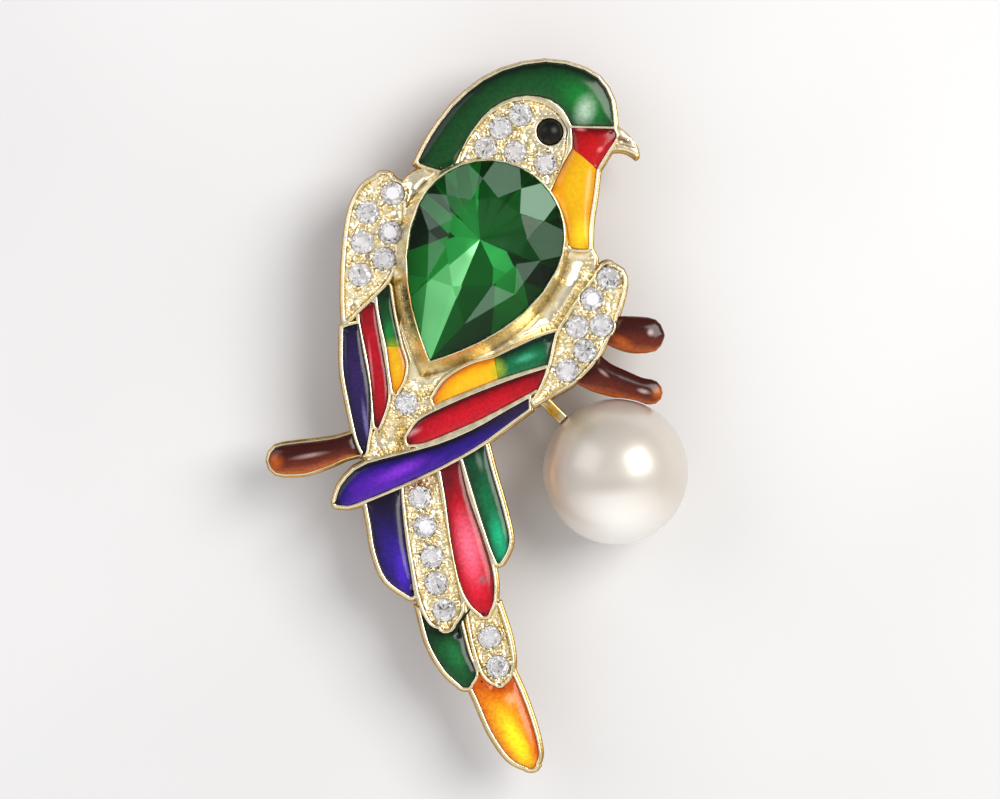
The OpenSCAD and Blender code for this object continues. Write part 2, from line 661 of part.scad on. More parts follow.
module pearl() {
    way = at(ARM_PLACE) - at(PEARL_PLACE);
    color("#d8cdbf") translate([each at(PEARL_PLACE), pearl_r]) difference() {
        sphere(r = pearl_r, $fn = 96);
        rotate(atan2(way[1], way[0])) rotate([0, 90, 0])
            translate([0, 0, pearl_r - peg_in - foot_gap])
                cylinder(d = peg_d + 2 * foot_gap, h = through, $fn = 32);
    }
}

module small_stone(s) {
    color("#e4e0ea") stone_frame(s)
        brilliant(round_outline(16, stone_d / 2), SMALL_CROWN * stone_d, SMALL_PAVILION * stone_d,
            GIRDLE_SHARE * stone_d);
}

// A swelling skin over one cell, wider than the cell, that the cell's walls then trim
function way_at(c, t) =
    let (
        e = 0.02,
        a = max(t - e, 0),
        b = min(t + e, 1)
    )
    unit(through_points(c[C_EDGES], b) + through_points(c[C_EDGES + 1], b)
        - through_points(c[C_EDGES], a) - through_points(c[C_EDGES + 1], a));

function swell_section(c, k, side) =
    let (
        t = k / swell_steps,
        a = through_points(c[C_EDGES], t),
        b = through_points(c[C_EDGES + 1], t),
        half = norm(b - a) / 2,
        way = way_at(c, t),
        across = unit((b - a) + 0.05 * rim_w * side * [way[1], -way[0]]) * (half + rim_w),
        end = k == 0 ? -1 : k == swell_steps ? 1 : 0,
        middle = (a + b) / 2 + end * 2 * rim_w * way,
        edge = top_of(c[C_GROUP]) - enamel_sink
    )
    concat(
        [for (v = SWELL_ACROSS)
            [each middle + side * v * across, edge + enamel_swell * half * (1 - v * v)]],
        [[each middle + side * across, back_z], [each middle - side * across, back_z]]
    );

module swell(c) {
    turn = way_at(c, 0.5);
    over_way = through_points(c[C_EDGES + 1], 0.5) - through_points(c[C_EDGES], 0.5);
    side = sign(turn[1] * over_way[0] - turn[0] * over_way[1]);
    count = len(SWELL_ACROSS) + 2;
    points = [for (k = [0 : swell_steps]) each swell_section(c, k, side)];
    faces = concat(
        [[for (j = [0 : count - 1]) j]],
        [for (k = [0 : swell_steps - 1]) for (j = [0 : count - 1])
            [k * count + j, (k + 1) * count + j, (k + 1) * count + (j + 1) % count,
                k * count + (j + 1) % count]],
        [[for (j = [count - 1 : -1 : 0]) swell_steps * count + j]]
    );
    polyhedron(points, faces);
}

module enamel(c) {
    floor_z = top_of(c[C_GROUP]) - cell_d + seat_gap;
    color(c[C_COLOUR]) intersection() {
        swell(c);
        translate([0, 0, floor_z]) linear_extrude(through) closed_slits() intersection() {
            offset(delta = -seat_gap) polygon(outline(c, C_EDGES));
            offset(delta = -seat_gap) difference() {
                cell_openings(c[C_GROUP]);
                over(c[C_GROUP]);
                pearl_space();
            }
        }
    }
}

casting();
pin_back();
pear_stone();
eye_stone();
pearl();
for (s = STONES) small_stone(s);
for (c = CELLS) enamel(c);
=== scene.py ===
"""Looks of a gilt parrot brooch with enamel, set stones and a pearl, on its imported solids."""

import logging
import math
import random
from collections.abc import Iterable, Sequence
from dataclasses import dataclass, field
from enum import Enum

import bmesh
import bpy
import numpy as np
from mathutils import Matrix, Vector
from mathutils.bvhtree import BVHTree


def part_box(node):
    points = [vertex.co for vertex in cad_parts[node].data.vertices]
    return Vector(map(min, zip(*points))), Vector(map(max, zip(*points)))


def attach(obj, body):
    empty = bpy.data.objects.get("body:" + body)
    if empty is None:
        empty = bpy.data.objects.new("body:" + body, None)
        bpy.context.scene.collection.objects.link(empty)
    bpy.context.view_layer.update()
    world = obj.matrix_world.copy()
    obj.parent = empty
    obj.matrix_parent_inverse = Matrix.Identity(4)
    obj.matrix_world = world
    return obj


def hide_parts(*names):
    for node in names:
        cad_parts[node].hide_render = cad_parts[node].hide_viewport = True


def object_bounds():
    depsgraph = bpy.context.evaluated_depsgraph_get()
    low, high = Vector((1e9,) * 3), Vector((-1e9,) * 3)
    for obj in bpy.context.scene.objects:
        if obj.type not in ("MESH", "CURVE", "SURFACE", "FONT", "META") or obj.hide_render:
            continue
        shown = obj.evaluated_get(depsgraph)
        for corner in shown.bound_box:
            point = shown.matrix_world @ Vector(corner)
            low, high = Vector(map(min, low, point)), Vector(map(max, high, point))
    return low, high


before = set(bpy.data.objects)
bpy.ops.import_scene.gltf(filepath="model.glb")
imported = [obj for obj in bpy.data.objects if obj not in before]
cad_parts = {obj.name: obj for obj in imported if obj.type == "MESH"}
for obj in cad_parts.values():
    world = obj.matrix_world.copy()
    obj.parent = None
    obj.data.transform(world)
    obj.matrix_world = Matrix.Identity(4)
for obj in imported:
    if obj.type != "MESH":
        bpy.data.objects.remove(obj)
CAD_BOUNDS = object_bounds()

log = logging.getLogger("brooch")

MM = 0.001
ROOT = "root"
UP = Vector((0, 0, 1))
# Upward share of a normal from which a face counts as a flat top
FLAT = 0.99
# Depth in mm of the metal's grainy ground below the tops of the small stones
BED = 0.5
# Length in mm that is smaller than any part of the brooch
TINY = 0.01
# Names of the values that meshes carry for their materials
DEPTH = "depth"
FACET = "facet"
PAINTED_REFLECTION = "painted_reflection"

Colour = tuple[float, float, float, float]
Stops = Sequence[tuple[float, str]]
Mesh = bmesh.types.BMesh
Face = bmesh.types.BMFace
Edge = bmesh.types.BMEdge
Vert = bmesh.types.BMVert
Material = bpy.types.Material
Socket = bpy.types.NodeSocket


def linear(code: str) -> Colour:
    """Turns an sRGB colour to a linear one.

    Args:
        code: The sRGB colour, such as #d9c27a.

    Returns:
        The linear colour, with full alpha.
    """
    shares = [int(code[i : i + 2], 16) / 255 for i in (1, 3, 5)]
    r, g, b = (s / 12.92 if s <= 0.04045 else ((s + 0.055) / 1.055) ** 2.4 for s in shares)
    return (r, g, b, 1.0)


def add_node(
    tree: bpy.types.NodeTree,
    kind: str,
    inputs: dict[str | int, object] | None = None,
    **settings: object,
) -> bpy.types.Node:
    """Adds a shader node with its settings and inputs.

    Args:
        tree: The node tree that gets the node.
        kind: The node's type name.
        inputs: A value, or the socket to link from, for each named or numbered input.
        settings: The node's own properties.

    Returns:
        The new node.
    """
    made = tree.nodes.new(kind)
    for name, value in settings.items():
        setattr(made, name, value)
    for key, value in (inputs or {}).items():
        if isinstance(value, Socket):
            tree.links.new(value, made.inputs[key])
        else:
            made.inputs[key].default_value = value
    return made


def fill_ramp(made: bpy.types.Node, stops: Stops) -> None:
    """Gives a colour ramp its stops.

    Args:
        made: The ramp's node.
        stops: A place from 0 to 1 and an sRGB code for each stop.
    """
    points = made.color_ramp.elements
    while len(points) < len(stops):
        points.new(0.5)
    for point, (place, code) in zip(points, stops):
        point.position = place
        point.color = linear(code)


@dataclass
class Graph:
    """A material and its node tree, with the few node patterns that the finishes share."""

    name: str

    def __post_init__(self) -> None:
        """Makes the material, with the coordinates that every pattern reads."""
        self.material = bpy.data.materials.new(self.name)
        self.material.use_nodes = True
        self.tree = self.material.node_tree
        self.tree.nodes.clear()
        self.place = self.add("ShaderNodeTexCoord").outputs["Object"]

    def add(self, kind: str, inputs: dict | None = None, **settings: object) -> bpy.types.Node:
        """Returns a node added to this tree."""
        return add_node(self.tree, kind, inputs, **settings)

    def maths(self, how: str, *values: object) -> Socket:
        """Returns the result of a Math node."""
        return self.add("ShaderNodeMath", dict(enumerate(values)), operation=how).outputs[0]

    def vector(self, how: str, *values: object) -> Socket:
        """Returns the vector that a Vector Math node gives."""
        return self.add("ShaderNodeVectorMath", dict(enumerate(values)), operation=how).outputs[0]

    def noise(self, size: float, detail: float = 2.0) -> Socket:
        """Returns a noise from 0 to 1 whose features have this size in mm."""
        made = self.add(
            "ShaderNodeTexNoise", {"Vector": self.place, "Scale": 1 / (size * MM), "Detail": detail}
        )
        return made.outputs["Fac"]

    def ramp(self, value: object, stops: Stops) -> Socket:
        """Colours a value by a ramp.

        Args:
            value: The value's socket.
            stops: A place from 0 to 1 and an sRGB code for each stop.

        Returns:
            The colour.
        """
        made = self.add("ShaderNodeValToRGB", {"Fac": value})
        fill_ramp(made, stops)
        return made.outputs["Color"]

    def mix(self, share: object, a: object, b: object) -> Socket:
        """Blends two colours, each a socket or an sRGB code.

        Args:
            share: Share of the second colour.
            a: The first colour.
            b: The second colour.

        Returns:
            The blend.
        """
        made = self.add("ShaderNodeMix", {0: share}, data_type="RGBA")
        for key, value in ((6, a), (7, b)):
            if isinstance(value, str):
                made.inputs[key].default_value = linear(value)
            else:
                self.tree.links.new(value, made.inputs[key])
        return made.outputs[2]

    def span(
        self, value: object, low: float, high: float, to_low: float = 0, to_high: float = 1
    ) -> Socket:
        """Moves a value smoothly from one range to another, and holds it inside that.

        Args:
            value: The value's socket.
            low: Start of the value's range.
            high: End of the value's range.
            to_low: Result at the start.
            to_high: Result at the end.

        Returns:
            The moved value.
        """
        made = self.add(
            "ShaderNodeMapRange", {0: value, 1: low, 2: high, 3: to_low, 4: to_high},
            interpolation_type="SMOOTHSTEP",
        )
        return made.outputs[0]

    def bump(self, height: object, depth: float, strength: float = 1.0) -> Socket:
        """Returns a normal bent by a height pattern whose full depth is given in mm."""
        made = self.add(
            "ShaderNodeBump", {"Height": height, "Distance": depth * MM, "Strength": strength}
        )
        return made.outputs["Normal"]

    def finish(self, **inputs: object) -> Material:
        """Ends the tree in a Principled shader.

        Args:
            inputs: A value or a socket for each input, by its name with underscores.

        Returns:
            The material.
        """
        named = {
            key.replace("_", " ").title().replace("Ior", "IOR"): value
            for key, value in inputs.items()
        }
        shader = self.add("ShaderNodeBsdfPrincipled", named)
        self.add("ShaderNodeOutputMaterial", {"Surface": shader.outputs[0]})
        return self.material


@dataclass(frozen=True)
class Glow:
    """A soft patch of colour, most often a painted highlight, reflection or shade: its middle and
    radii in mm, turn in degrees and strength.
    """

    x: float
    y: float
    across: float
    along: float
    turn: float
    colour: str
    share: float = 0.7

    def mixed(self, g: Graph, under: object) -> Socket:
        """Lays this patch over a colour.

        Args:
            g: The material's graph.
            under: The colour under the patch, a socket or an sRGB code.

        Returns:
            The colour with the patch.
        """
        moved = g.vector("SUBTRACT", g.place, (self.x * MM, self.y * MM, 0))
        turned = g.add(
            "ShaderNodeVectorRotate", {"Vector": moved, "Angle": math.radians(-self.turn)},
            rotation_type="Z_AXIS",
        ).outputs[0]
        sized = g.vector("MULTIPLY", turned, (1 / (self.across * MM), 1 / (self.along * MM), 0))
        reach = g.add("ShaderNodeVectorMath", {0: sized}, operation="LENGTH").outputs["Value"]
        return g.mix(g.span(reach, 1.0, 0.0, 0.0, self.share), under, self.colour)


@dataclass(frozen=True)
class GiltMetal:
    """Cast alloy with a champagne gilding, drawn with painted shade.

    It is near white on the high rims and a deep straw gold where it lies low or slopes, a painted
    shade of the hollows and slopes.

    Attributes:
        low: Height in mm below which the painted shade makes the gilding deepest.
        high: Height in mm above which it is brightest.
        tints: Patches in another colour: ochre, yellow and olive spots, painted shade and painted
            reflections.
    """

    name: str = "champagne_gilding"
    bright: str = "#f8eccb"
    body: str = "#dfcb90"
    deep: str = "#b5832f"
    roughness: float = 0.24
    low: float = 5.9
    high: float = 7.6
    tints: tuple[Glow, ...] = ()

    def material(self) -> Material:
        """Makes the gilding, drawn deeper where it lies low or slopes as painted shade, in a fine
        noise.

        Returns:
            The new material.
        """
        g = Graph(self.name)
        # Painted shade: deeper where the metal lies low and where it slopes, brightest on the high
        # rims
        z = g.add("ShaderNodeSeparateXYZ", {0: g.place}).outputs["Z"]
        height = g.maths("MULTIPLY", g.span(z, self.low * MM, self.high * MM), 0.6)
        flat = g.add("ShaderNodeNewGeometry").outputs["Normal"]
        lean = g.add("ShaderNodeSeparateXYZ", {0: flat}).outputs["Z"]
        slope_shade = g.span(lean, 0.97, 0.6, 0.0, 0.2)
        worn = g.maths("MULTIPLY", g.noise(1.4, 3.0), 0.5)
        level = g.maths("SUBTRACT", g.maths("ADD", height, worn), slope_shade)
        colour = g.ramp(level, ((0.1, self.deep), (0.42, self.body), (0.85, self.bright)))
        # Spots of colour, painted shade and painted reflections laid over the gilding
        for tint in self.tints:
            colour = tint.mixed(g, colour)
        rough = g.span(g.noise(0.7), 0.3, 0.7, self.roughness - 0.06, self.roughness + 0.1)
        return g.finish(
            base_color=colour, metallic=1.0, roughness=rough,
            normal=g.bump(g.noise(0.16, 3.0), 0.012, 0.5),
        )


@dataclass(frozen=True)
class EnamelGlass:
    """Translucent epoxy enamel, poured into its cell, under wet gloss: a painted glow where it is
    thick, painted shade at its rim and on its upper side.

    Attributes:
        edge: Colour at the cell's rim, a painted shade.
        body: Colour between rim and middle.
        heart: Colour where the enamel is thickest, a painted glow.
        glows: Patches laid over it, most of them painted highlights, reflections and shade.
        shade: How far a slope to the upper side of the brooch darkens it, as painted shade; slopes to
            the lower side are lightened as painted light.
        mottle: Strength of the clouds.
        speck: Strength of the fine flecks.
        deep: How far the thickness lightens it, as a painted glow.
    """

    name: str
    edge: str
    body: str
    heart: str
    glows: tuple[Glow, ...] = ()
    shade: float = 1.1
    mottle: float = 0.45
    speck: float = 0.16
    deep: float = 1.0

    def material(self) -> Material:
        """Makes the enamel, with painted shade darker towards its edges and its upper side.

        Returns:
            The new material.
        """
        g = Graph(self.name)
        # Painted light and shade: lighter where the enamel is thick, darker at the rim and on slopes
        # facing the upper side
        depth = g.add("ShaderNodeAttribute", attribute_name=DEPTH).outputs["Fac"]
        normal = g.add("ShaderNodeNewGeometry").outputs["Normal"]
        lean = g.add("ShaderNodeSeparateXYZ", {0: normal}).outputs["Y"]
        cloud = g.maths("MULTIPLY", g.maths("SUBTRACT", g.noise(0.7, 4.0), 0.5), self.mottle)
        level = g.maths(
            "SUBTRACT", g.maths("MULTIPLY_ADD", depth, self.deep, cloud),
            g.maths("MULTIPLY", lean, self.shade),
        )
        colour = g.ramp(level, ((0.12, self.edge), (0.62, self.body), (1.0, self.heart)))
        # The cell's patches, most of them painted highlights, reflections and shade
        for glow in self.glows:
            colour = glow.mixed(g, colour)
        speck = g.span(g.noise(0.28, 4.0), 0.3, 0.7, 1 - self.speck, 1 + self.speck)
        colour = g.add("ShaderNodeHueSaturation", {"Value": speck, "Color": colour}).outputs[0]
        return g.finish(
            base_color=colour, roughness=0.4, specular_ior_level=0.0, coat_weight=1.0,
            coat_roughness=0.16, coat_ior=1.4, normal=g.bump(g.noise(2.2), 0.05, 0.3),
        )


@dataclass(frozen=True)
class FoiledGlass:
    """Cut glass with a foiled back: each facet has a painted tone for the sharp patch of light that it
    sends up.

    Attributes:
        tint: Colour of a facet above the girdle, by its painted tone.
        foil: Colour of a facet below the girdle, by its painted tone.
        shine: Share of metal in the foil.
        painted_reflection: Colour of the painted reflection of the pale room on a facet that mirrors
            it.
    """

    name: str
    tint: Stops
    foil: Stops
    ior: float
    foil_roughness: float
    shine: float
    painted_reflection: str

    def material(self) -> Material:
        """Makes the glass, with foil on all facets that look down.

        Returns:
            The new material.
        """
        g = Graph(self.name)
        geometry = g.add("ShaderNodeNewGeometry")
        z = g.add("ShaderNodeSeparateXYZ", {0: geometry.outputs["True Normal"]}).outputs["Z"]
        flip = g.maths("MULTIPLY_ADD", geometry.outputs["Backfacing"], -2.0, 1.0)
        down = g.maths("LESS_THAN", g.maths("MULTIPLY", z, flip), -0.05)
        # Painted reflections: each facet's tone, and the pale room painted over the facets that mirror
        # it
        tone = g.add("ShaderNodeAttribute", attribute_name=FACET).outputs["Fac"]
        painted_reflection = g.add("ShaderNodeAttribute", attribute_name=PAINTED_REFLECTION).outputs["Fac"]
        clear = g.mix(g.span(painted_reflection, 0.0, 0.1), g.ramp(tone, self.tint), self.painted_reflection)
        colour = g.mix(down, clear, g.ramp(tone, self.foil))
        return g.finish(
            base_color=colour, metallic=g.maths("MULTIPLY", down, self.shine),
            transmission_weight=g.maths("SUBTRACT", g.maths("SUBTRACT", 1.0, down), painted_reflection),
            roughness=g.maths("MULTIPLY", down, self.foil_roughness), ior=self.ior,
        )


@dataclass(frozen=True)
class BlackGlass:
    """Black glass of the eye, which shows little but soft reflections."""

    name: str = "black_eye_glass"

    def material(self) -> Material:
        """Makes a near black glass with a faint cloud in it.

        Returns:
            The new material.
        """
        g = Graph(self.name)
        colour = g.ramp(g.noise(0.8), ((0.3, "#040404"), (0.8, "#101012")))
        return g.finish(base_color=colour, roughness=0.35, specular_ior_level=0.25)


@dataclass(frozen=True)
class PearlCoat:
    """Imitation pearl: a ball dipped in lustre lacquer, with a rosy side, and painted reflections: a
    soft bright one of the floor below, one of the gilt arm, and a dull band of the room.
    """

    name: str = "pearl_lustre"
    body: str = "#cdc6bd"
    cloud: str = "#c6baac"
    tints: tuple[Glow, ...] = (
        # Painted reflection of the pale floor below
        Glow(12.1, -9.4, 7.5, 5.2, 0, "#fffdf8", 0.85),
        # The rosy side of the lustre
        Glow(6.3, -4.8, 2.4, 7.0, 0, "#dcb49c", 0.45),
        # Painted reflection of the gilt arm
        Glow(9.0, -0.6, 2.0, 1.4, -40, "#a89c7c", 0.5),
        # Painted reflection of a dull band of the room
        Glow(11.6, -5.9, 4.6, 1.2, 4, "#978c84", 0.34),
    )

    def material(self) -> Material:
        """Makes the lustre, a soft sheen under a clear coat.

        Returns:
            The new material.
        """
        g = Graph(self.name)
        colour = g.mix(g.span(g.noise(5.0), 0.3, 0.7, 0.0, 0.5), self.body, self.cloud)
        for tint in self.tints:
            colour = tint.mixed(g, colour)
        return g.finish(
            base_color=colour, metallic=0.25, roughness=0.35, coat_weight=0.8, coat_roughness=0.22,
            normal=g.bump(g.noise(1.2, 3.0), 0.01, 0.4),
        )


@dataclass(frozen=True)
class StudioFloor:
    """A pale, matt studio surface."""

    name: str = "pale_studio_surface"

    def material(self) -> Material:
        """Makes the surface's paint, with a barely seen cloud.

        Returns:
            The new material.
        """
        g = Graph(self.name)
        colour = g.mix(g.span(g.noise(60.0), 0.3, 0.7), "#e2e2e3", "#dbdbdc")
        return g.finish(base_color=colour, roughness=0.6)


def joined_copy(node: str) -> Mesh:
    """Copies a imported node's mesh in mm, with its split corners joined.

    Args:
        node: The node's name.

    Returns:
        The new mesh.
    """
    bm = bmesh.new()
    bm.from_mesh(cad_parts[node].data)
    bmesh.ops.scale(bm, vec=(1 / MM,) * 3, verts=bm.verts)
    bmesh.ops.remove_doubles(bm, verts=bm.verts, dist=0.001)
    bm.normal_update()
    return bm


def merged_copy(node: str) -> Mesh:
    """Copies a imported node's mesh in mm, with its split corners joined and flats whole.

    Args:
        node: The node's name.

    Returns:
        The new mesh.
    """
    bm = joined_copy(node)
    bmesh.ops.dissolve_limit(bm, angle_limit=math.radians(1), verts=bm.verts, edges=bm.edges)
    return bm


def small_stones() -> dict[str, tuple[Vector, float, float]]:
    """Finds the small round stones in the frame.

    Returns:
        The middle, radius and top of each stone, in mm, by its node.
    """
    found = {}
    for node in sorted(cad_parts):
        if "_stone" in node and node not in ("pear_stone", "eye_stone"):
            low, high = (Vector(c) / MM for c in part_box(node))
            found[node] = ((low + high) / 2, (high.x - low.x) / 2, high.z)
    return found


def edge_tree(edges: Iterable[Edge]) -> BVHTree:
    """Returns a tree that finds the nearest of these edges."""
    ends = [v.co.copy() for e in edges for v in e.verts]
    return BVHTree.FromPolygons(ends, [(i, i + 1, i + 1) for i in range(0, len(ends), 2)])


def add_piece(
    bm: Mesh,
    name: str,
    finish: Material,
    replaced: Sequence[str] = (),
    sharp: float = 35.0,
) -> None:
    """Turns a mesh in mm into a piece that rides on the brooch.

    Args:
        bm: The mesh, which is freed.
        name: The piece's name.
        finish: Its material.
        replaced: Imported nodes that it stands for.
        sharp: Angle in degrees from which an edge stays sharp.
    """
    bmesh.ops.scale(bm, vec=(MM,) * 3, verts=bm.verts)
    mesh = bpy.data.meshes.new(name)
    bm.to_mesh(mesh)
    bm.free()
    mesh.shade_smooth()
    mesh.set_sharp_from_angle(angle=math.radians(sharp))
    mesh.materials.append(finish)
    piece = bpy.data.objects.new(name, mesh)
    bpy.context.scene.collection.objects.link(piece)
    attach(piece, ROOT)
    if replaced:
        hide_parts(*replaced)
    log.info("%s: %d faces", name, len(mesh.polygons))


@dataclass
class Casting:
    """The cast body with its rims rounded as the mould and polishing leave them.

    Attributes:
        radius: Rounding of the outer corners, in mm.
        fine: Longest edge near a rounded corner, in mm.
        passes: Most halvings of the edges near a corner.
        steep: Upward share of a normal up to which a face counts as a wall.
        seat_room: Width round a stone, in mm, in which its seat's corners stay sharp.
        seat_depth: Depth under a stone's top, in mm, from which they do.
        trees: The outer corners of the flat tops, by height in mm.
    """

    finish: Material
    radius: float = 0.17
    fine: float = 0.11
    passes: int = 8
    steep: float = 0.6
    seat_room: float = 0.15
    seat_depth: float = 0.3
    trees: dict[float, BVHTree] = field(default_factory=dict)

    def build(self) -> BVHTree:
        """Builds the rounded casting.

        Returns:
            A tree of its surface, in mm.
        """
        bm = joined_copy("casting")
        self.find_corners(bm)
        self.refine(bm)
        self.round_tops(bm)
        surface = BVHTree.FromBMesh(bm)
        add_piece(bm, "gilt_casting", self.finish, ["casting"], 42)
        return surface

    def find_corners(self, bm: Mesh) -> None:
        """Keeps, for each height, the outer corners between a flat top and a wall.

        Args:
            bm: The casting's mesh.
        """
        seats = [
            (middle, r + self.seat_room, top - self.seat_depth)
            for middle, r, top in small_stones().values()
        ]
        found: dict[float, list[Edge]] = {}
        for edge in bm.edges:
            if len(edge.link_faces) != 2 or not edge.is_convex:
                continue
            wall, top = sorted(edge.link_faces, key=lambda f: f.normal.z)
            if top.normal.z < FLAT or abs(wall.normal.z) > self.steep:
                continue
            place = (edge.verts[0].co + edge.verts[1].co) / 2
            if any((place - m).to_2d().length < r and place.z < low for m, r, low in seats):
                continue
            found.setdefault(round(place.z, 2), []).append(edge)
        self.trees = {height: edge_tree(edges) for height, edges in found.items()}

    def reach(self, place: Vector) -> float:
        """Measures how far a place on a flat top is from the top's nearest outer corner.

        Args:
            place: The place, in mm.

        Returns:
            The distance in mm, infinite where no corner is near.
        """
        tree = self.trees.get(round(place.z, 2))
        near = tree.find_nearest(place, 4 * self.radius) if tree else None
        return near[3] if near and near[0] else math.inf

    def refine(self, bm: Mesh) -> None:
        """Halves the long edges of the tops near their corners until all are short.

        Args:
            bm: The casting's mesh.
        """
        for _ in range(self.passes):
            near = {v for v in bm.verts if self.reach(v.co) < self.radius}
            long = {
                e for f in bm.faces if f.normal.z > FLAT and any(v in near for v in f.verts)
                for e in f.edges if e.calc_length() > self.fine
            }
            if not long:
                break
            bmesh.ops.subdivide_edges(bm, edges=list(long), cuts=1)
            bmesh.ops.triangulate(bm, faces=[f for f in bm.faces if len(f.verts) > 3])

    def round_tops(self, bm: Mesh) -> None:
        """Lowers the tops towards their outer corners along a quarter circle.

        Args:
            bm: The casting's mesh.
        """
        tops = {v for f in bm.faces if f.normal.z > FLAT for v in f.verts}
        drops = {v: self.radius - self.reach(v.co) for v in tops}
        for v, short in drops.items():
            if short > 0:
                v.co.z -= self.radius - math.sqrt(self.radius**2 - short**2)


@dataclass
class Dome:
    """How a body's lid swells: as a skin held at its edge under an even pressure.

    Attributes:
        swell: Share of the skin's rise that the lid takes.
        soft: Rise in mm below which the lid stays nearly flat.
        mesh_size: Width of the lid's triangles, in mm.
        bands: Widths of the even bands along the lid's edge, in mm.
        lean: Upward share of a normal from which a face belongs to the lid.
        room: Greatest distance in mm to a neighbour that the lid runs into.
    """

    swell: float = 0.3
    soft: float = 0.3
    mesh_size: float = 0.3
    bands: tuple[float, ...] = (0.08, 0.14)
    lean: float = 0.9
    room: float = 0.06

    def prism(self, bm: Mesh, floor: float, edge: float) -> None:
        """Makes a closed prism of a flat outline.

        Args:
            bm: The outline, which becomes the prism.
            floor: Height of its underside.
            edge: Height of the lid's edge.
        """
        for v in bm.verts:
            v.co.z = floor
        grown = bmesh.ops.extrude_face_region(bm, geom=list(bm.faces), use_keep_orig=True)["geom"]
        raised = [v for v in grown if isinstance(v, Vert)]
        bmesh.ops.translate(bm, vec=(0, 0, edge - floor), verts=raised)
        bmesh.ops.recalc_face_normals(bm, faces=bm.faces)

    def lid(self, bm: Mesh) -> list[Face]:
        """Returns the faces that look up."""
        return [f for f in bm.faces if f.normal.z > self.lean]

    def cut(self, bm: Mesh) -> None:
        """Cuts the lid into even bands along its edge and small triangles inside them.

        Args:
            bm: The prism.
        """
        for width in self.bands:
            inner = max(self.lid(bm), key=lambda f: f.calc_area())
            bmesh.ops.inset_region(bm, faces=[inner], thickness=width, use_even_offset=True)
        for axis in (0, 1):
            way = Vector((axis == 0, axis == 1, 0))
            low = min(v.co[axis] for v in bm.verts)
            high = max(v.co[axis] for v in bm.verts)
            count = max(2, round((high - low) / self.mesh_size))
            for k in range(1, count):
                faces = self.lid(bm)
                edges = {e for f in faces for e in f.edges}
                corners = {v for f in faces for v in f.verts}
                bmesh.ops.bisect_plane(
                    bm, geom=[*faces, *edges, *corners], dist=0.004,
                    plane_co=way * (low + (high - low) * k / count), plane_no=way,
                )
        bmesh.ops.triangulate(bm, faces=self.lid(bm))

    def seam(self, outline: list[Vert], beside: BVHTree | None) -> set[Vert]:
        """Finds the outline's points that lie along a neighbour.

        Args:
            outline: The points.
            beside: The neighbour's outline at zero height, if there is a neighbour.

        Returns:
            The points that touch it.
        """
        if beside is None:
            return set()
        flat = Vector((1, 1, 0))
        return {v for v in outline if beside.find_nearest(v.co * flat, self.room)[0]}

    def skin(self, faces: list[Face], free: list[Vert]) -> np.ndarray:
        """Solves for the rise of a skin under an even pressure, by finite elements.

        Args:
            faces: The skin's triangles.
            free: The points that may rise.

        Returns:
            A number for each free point, which grows with the square of its rise.
        """
        row = {v: i for i, v in enumerate(free)}
        stiff = np.zeros((len(free), len(free)))
        load = np.zeros(len(free))
        for f in faces:
            for loop in f.loops:
                a, b, c = loop.vert, loop.link_loop_next.vert, loop.link_loop_prev.vert
                u, w = a.co - c.co, b.co - c.co
                twice = u.cross(w).length
                if twice < 1e-9:
                    continue
                if a in row:
                    load[row[a]] += twice / 6
                weight = u.dot(w) / twice / 2
                for p, q in ((a, b), (b, a)):
                    if p in row:
                        stiff[row[p], row[p]] += weight
                        if q in row:
                            stiff[row[p], row[q]] -= weight
        return np.linalg.solve(stiff, load)

    def swell_up(self, bm: Mesh, beside: BVHTree | None = None) -> None:
        """Raises the lid, free along the seam with a neighbour and held everywhere else.

        Args:
            bm: The body, with its lid cut into triangles.
            beside: The neighbour's outline at zero height, if there is a neighbour.
        """
        depth = bm.verts.layers.float.new(DEPTH)
        faces = self.lid(bm)
        bm.verts.index_update()
        corners = sorted({v for f in faces for v in f.verts}, key=lambda v: v.index)
        outline = [v for v in corners if any(f.normal.z < self.lean for f in v.link_faces)]
        held = set(outline) - self.seam(outline, beside)
        free = [v for v in corners if v not in held]
        height = np.sqrt(np.maximum(2 * self.skin(faces, free), 0))
        top = height.max()
        for v, h in zip(free, height):
            v.co.z += self.swell * (math.hypot(h, self.soft) - self.soft)
            v[depth] = h / top


# A dipped twig's coat is round right down to its edge
COAT_DOME = Dome(swell=0.45, soft=0.02)


def outward(edge: Edge) -> Vector:
    """Returns the direction that leads out of a flat mesh across one of its outer edges."""
    loop = edge.link_loops[0]
    return (loop.link_loop_next.vert.co - loop.vert.co).cross(loop.face.normal).normalized()


def floor_of(node: str) -> tuple[Mesh, float, float]:
    """Takes the flat floor of a packed fill.

    Args:
        node: The fill's name.

    Returns:
        The floor as a mesh, its height and the height of the fill's edge, in mm.
    """
    bm = merged_copy(node)
    floor = min(v.co.z for v in bm.verts)
    edge = min(v.co.z for v in bm.verts if v.co.z > floor + 10 * TINY)
    upper = [f for f in bm.faces if f.calc_center_median().z > floor + TINY]
    bmesh.ops.delete(bm, geom=upper, context="FACES")
    bm.normal_update()
    return bm, floor, edge


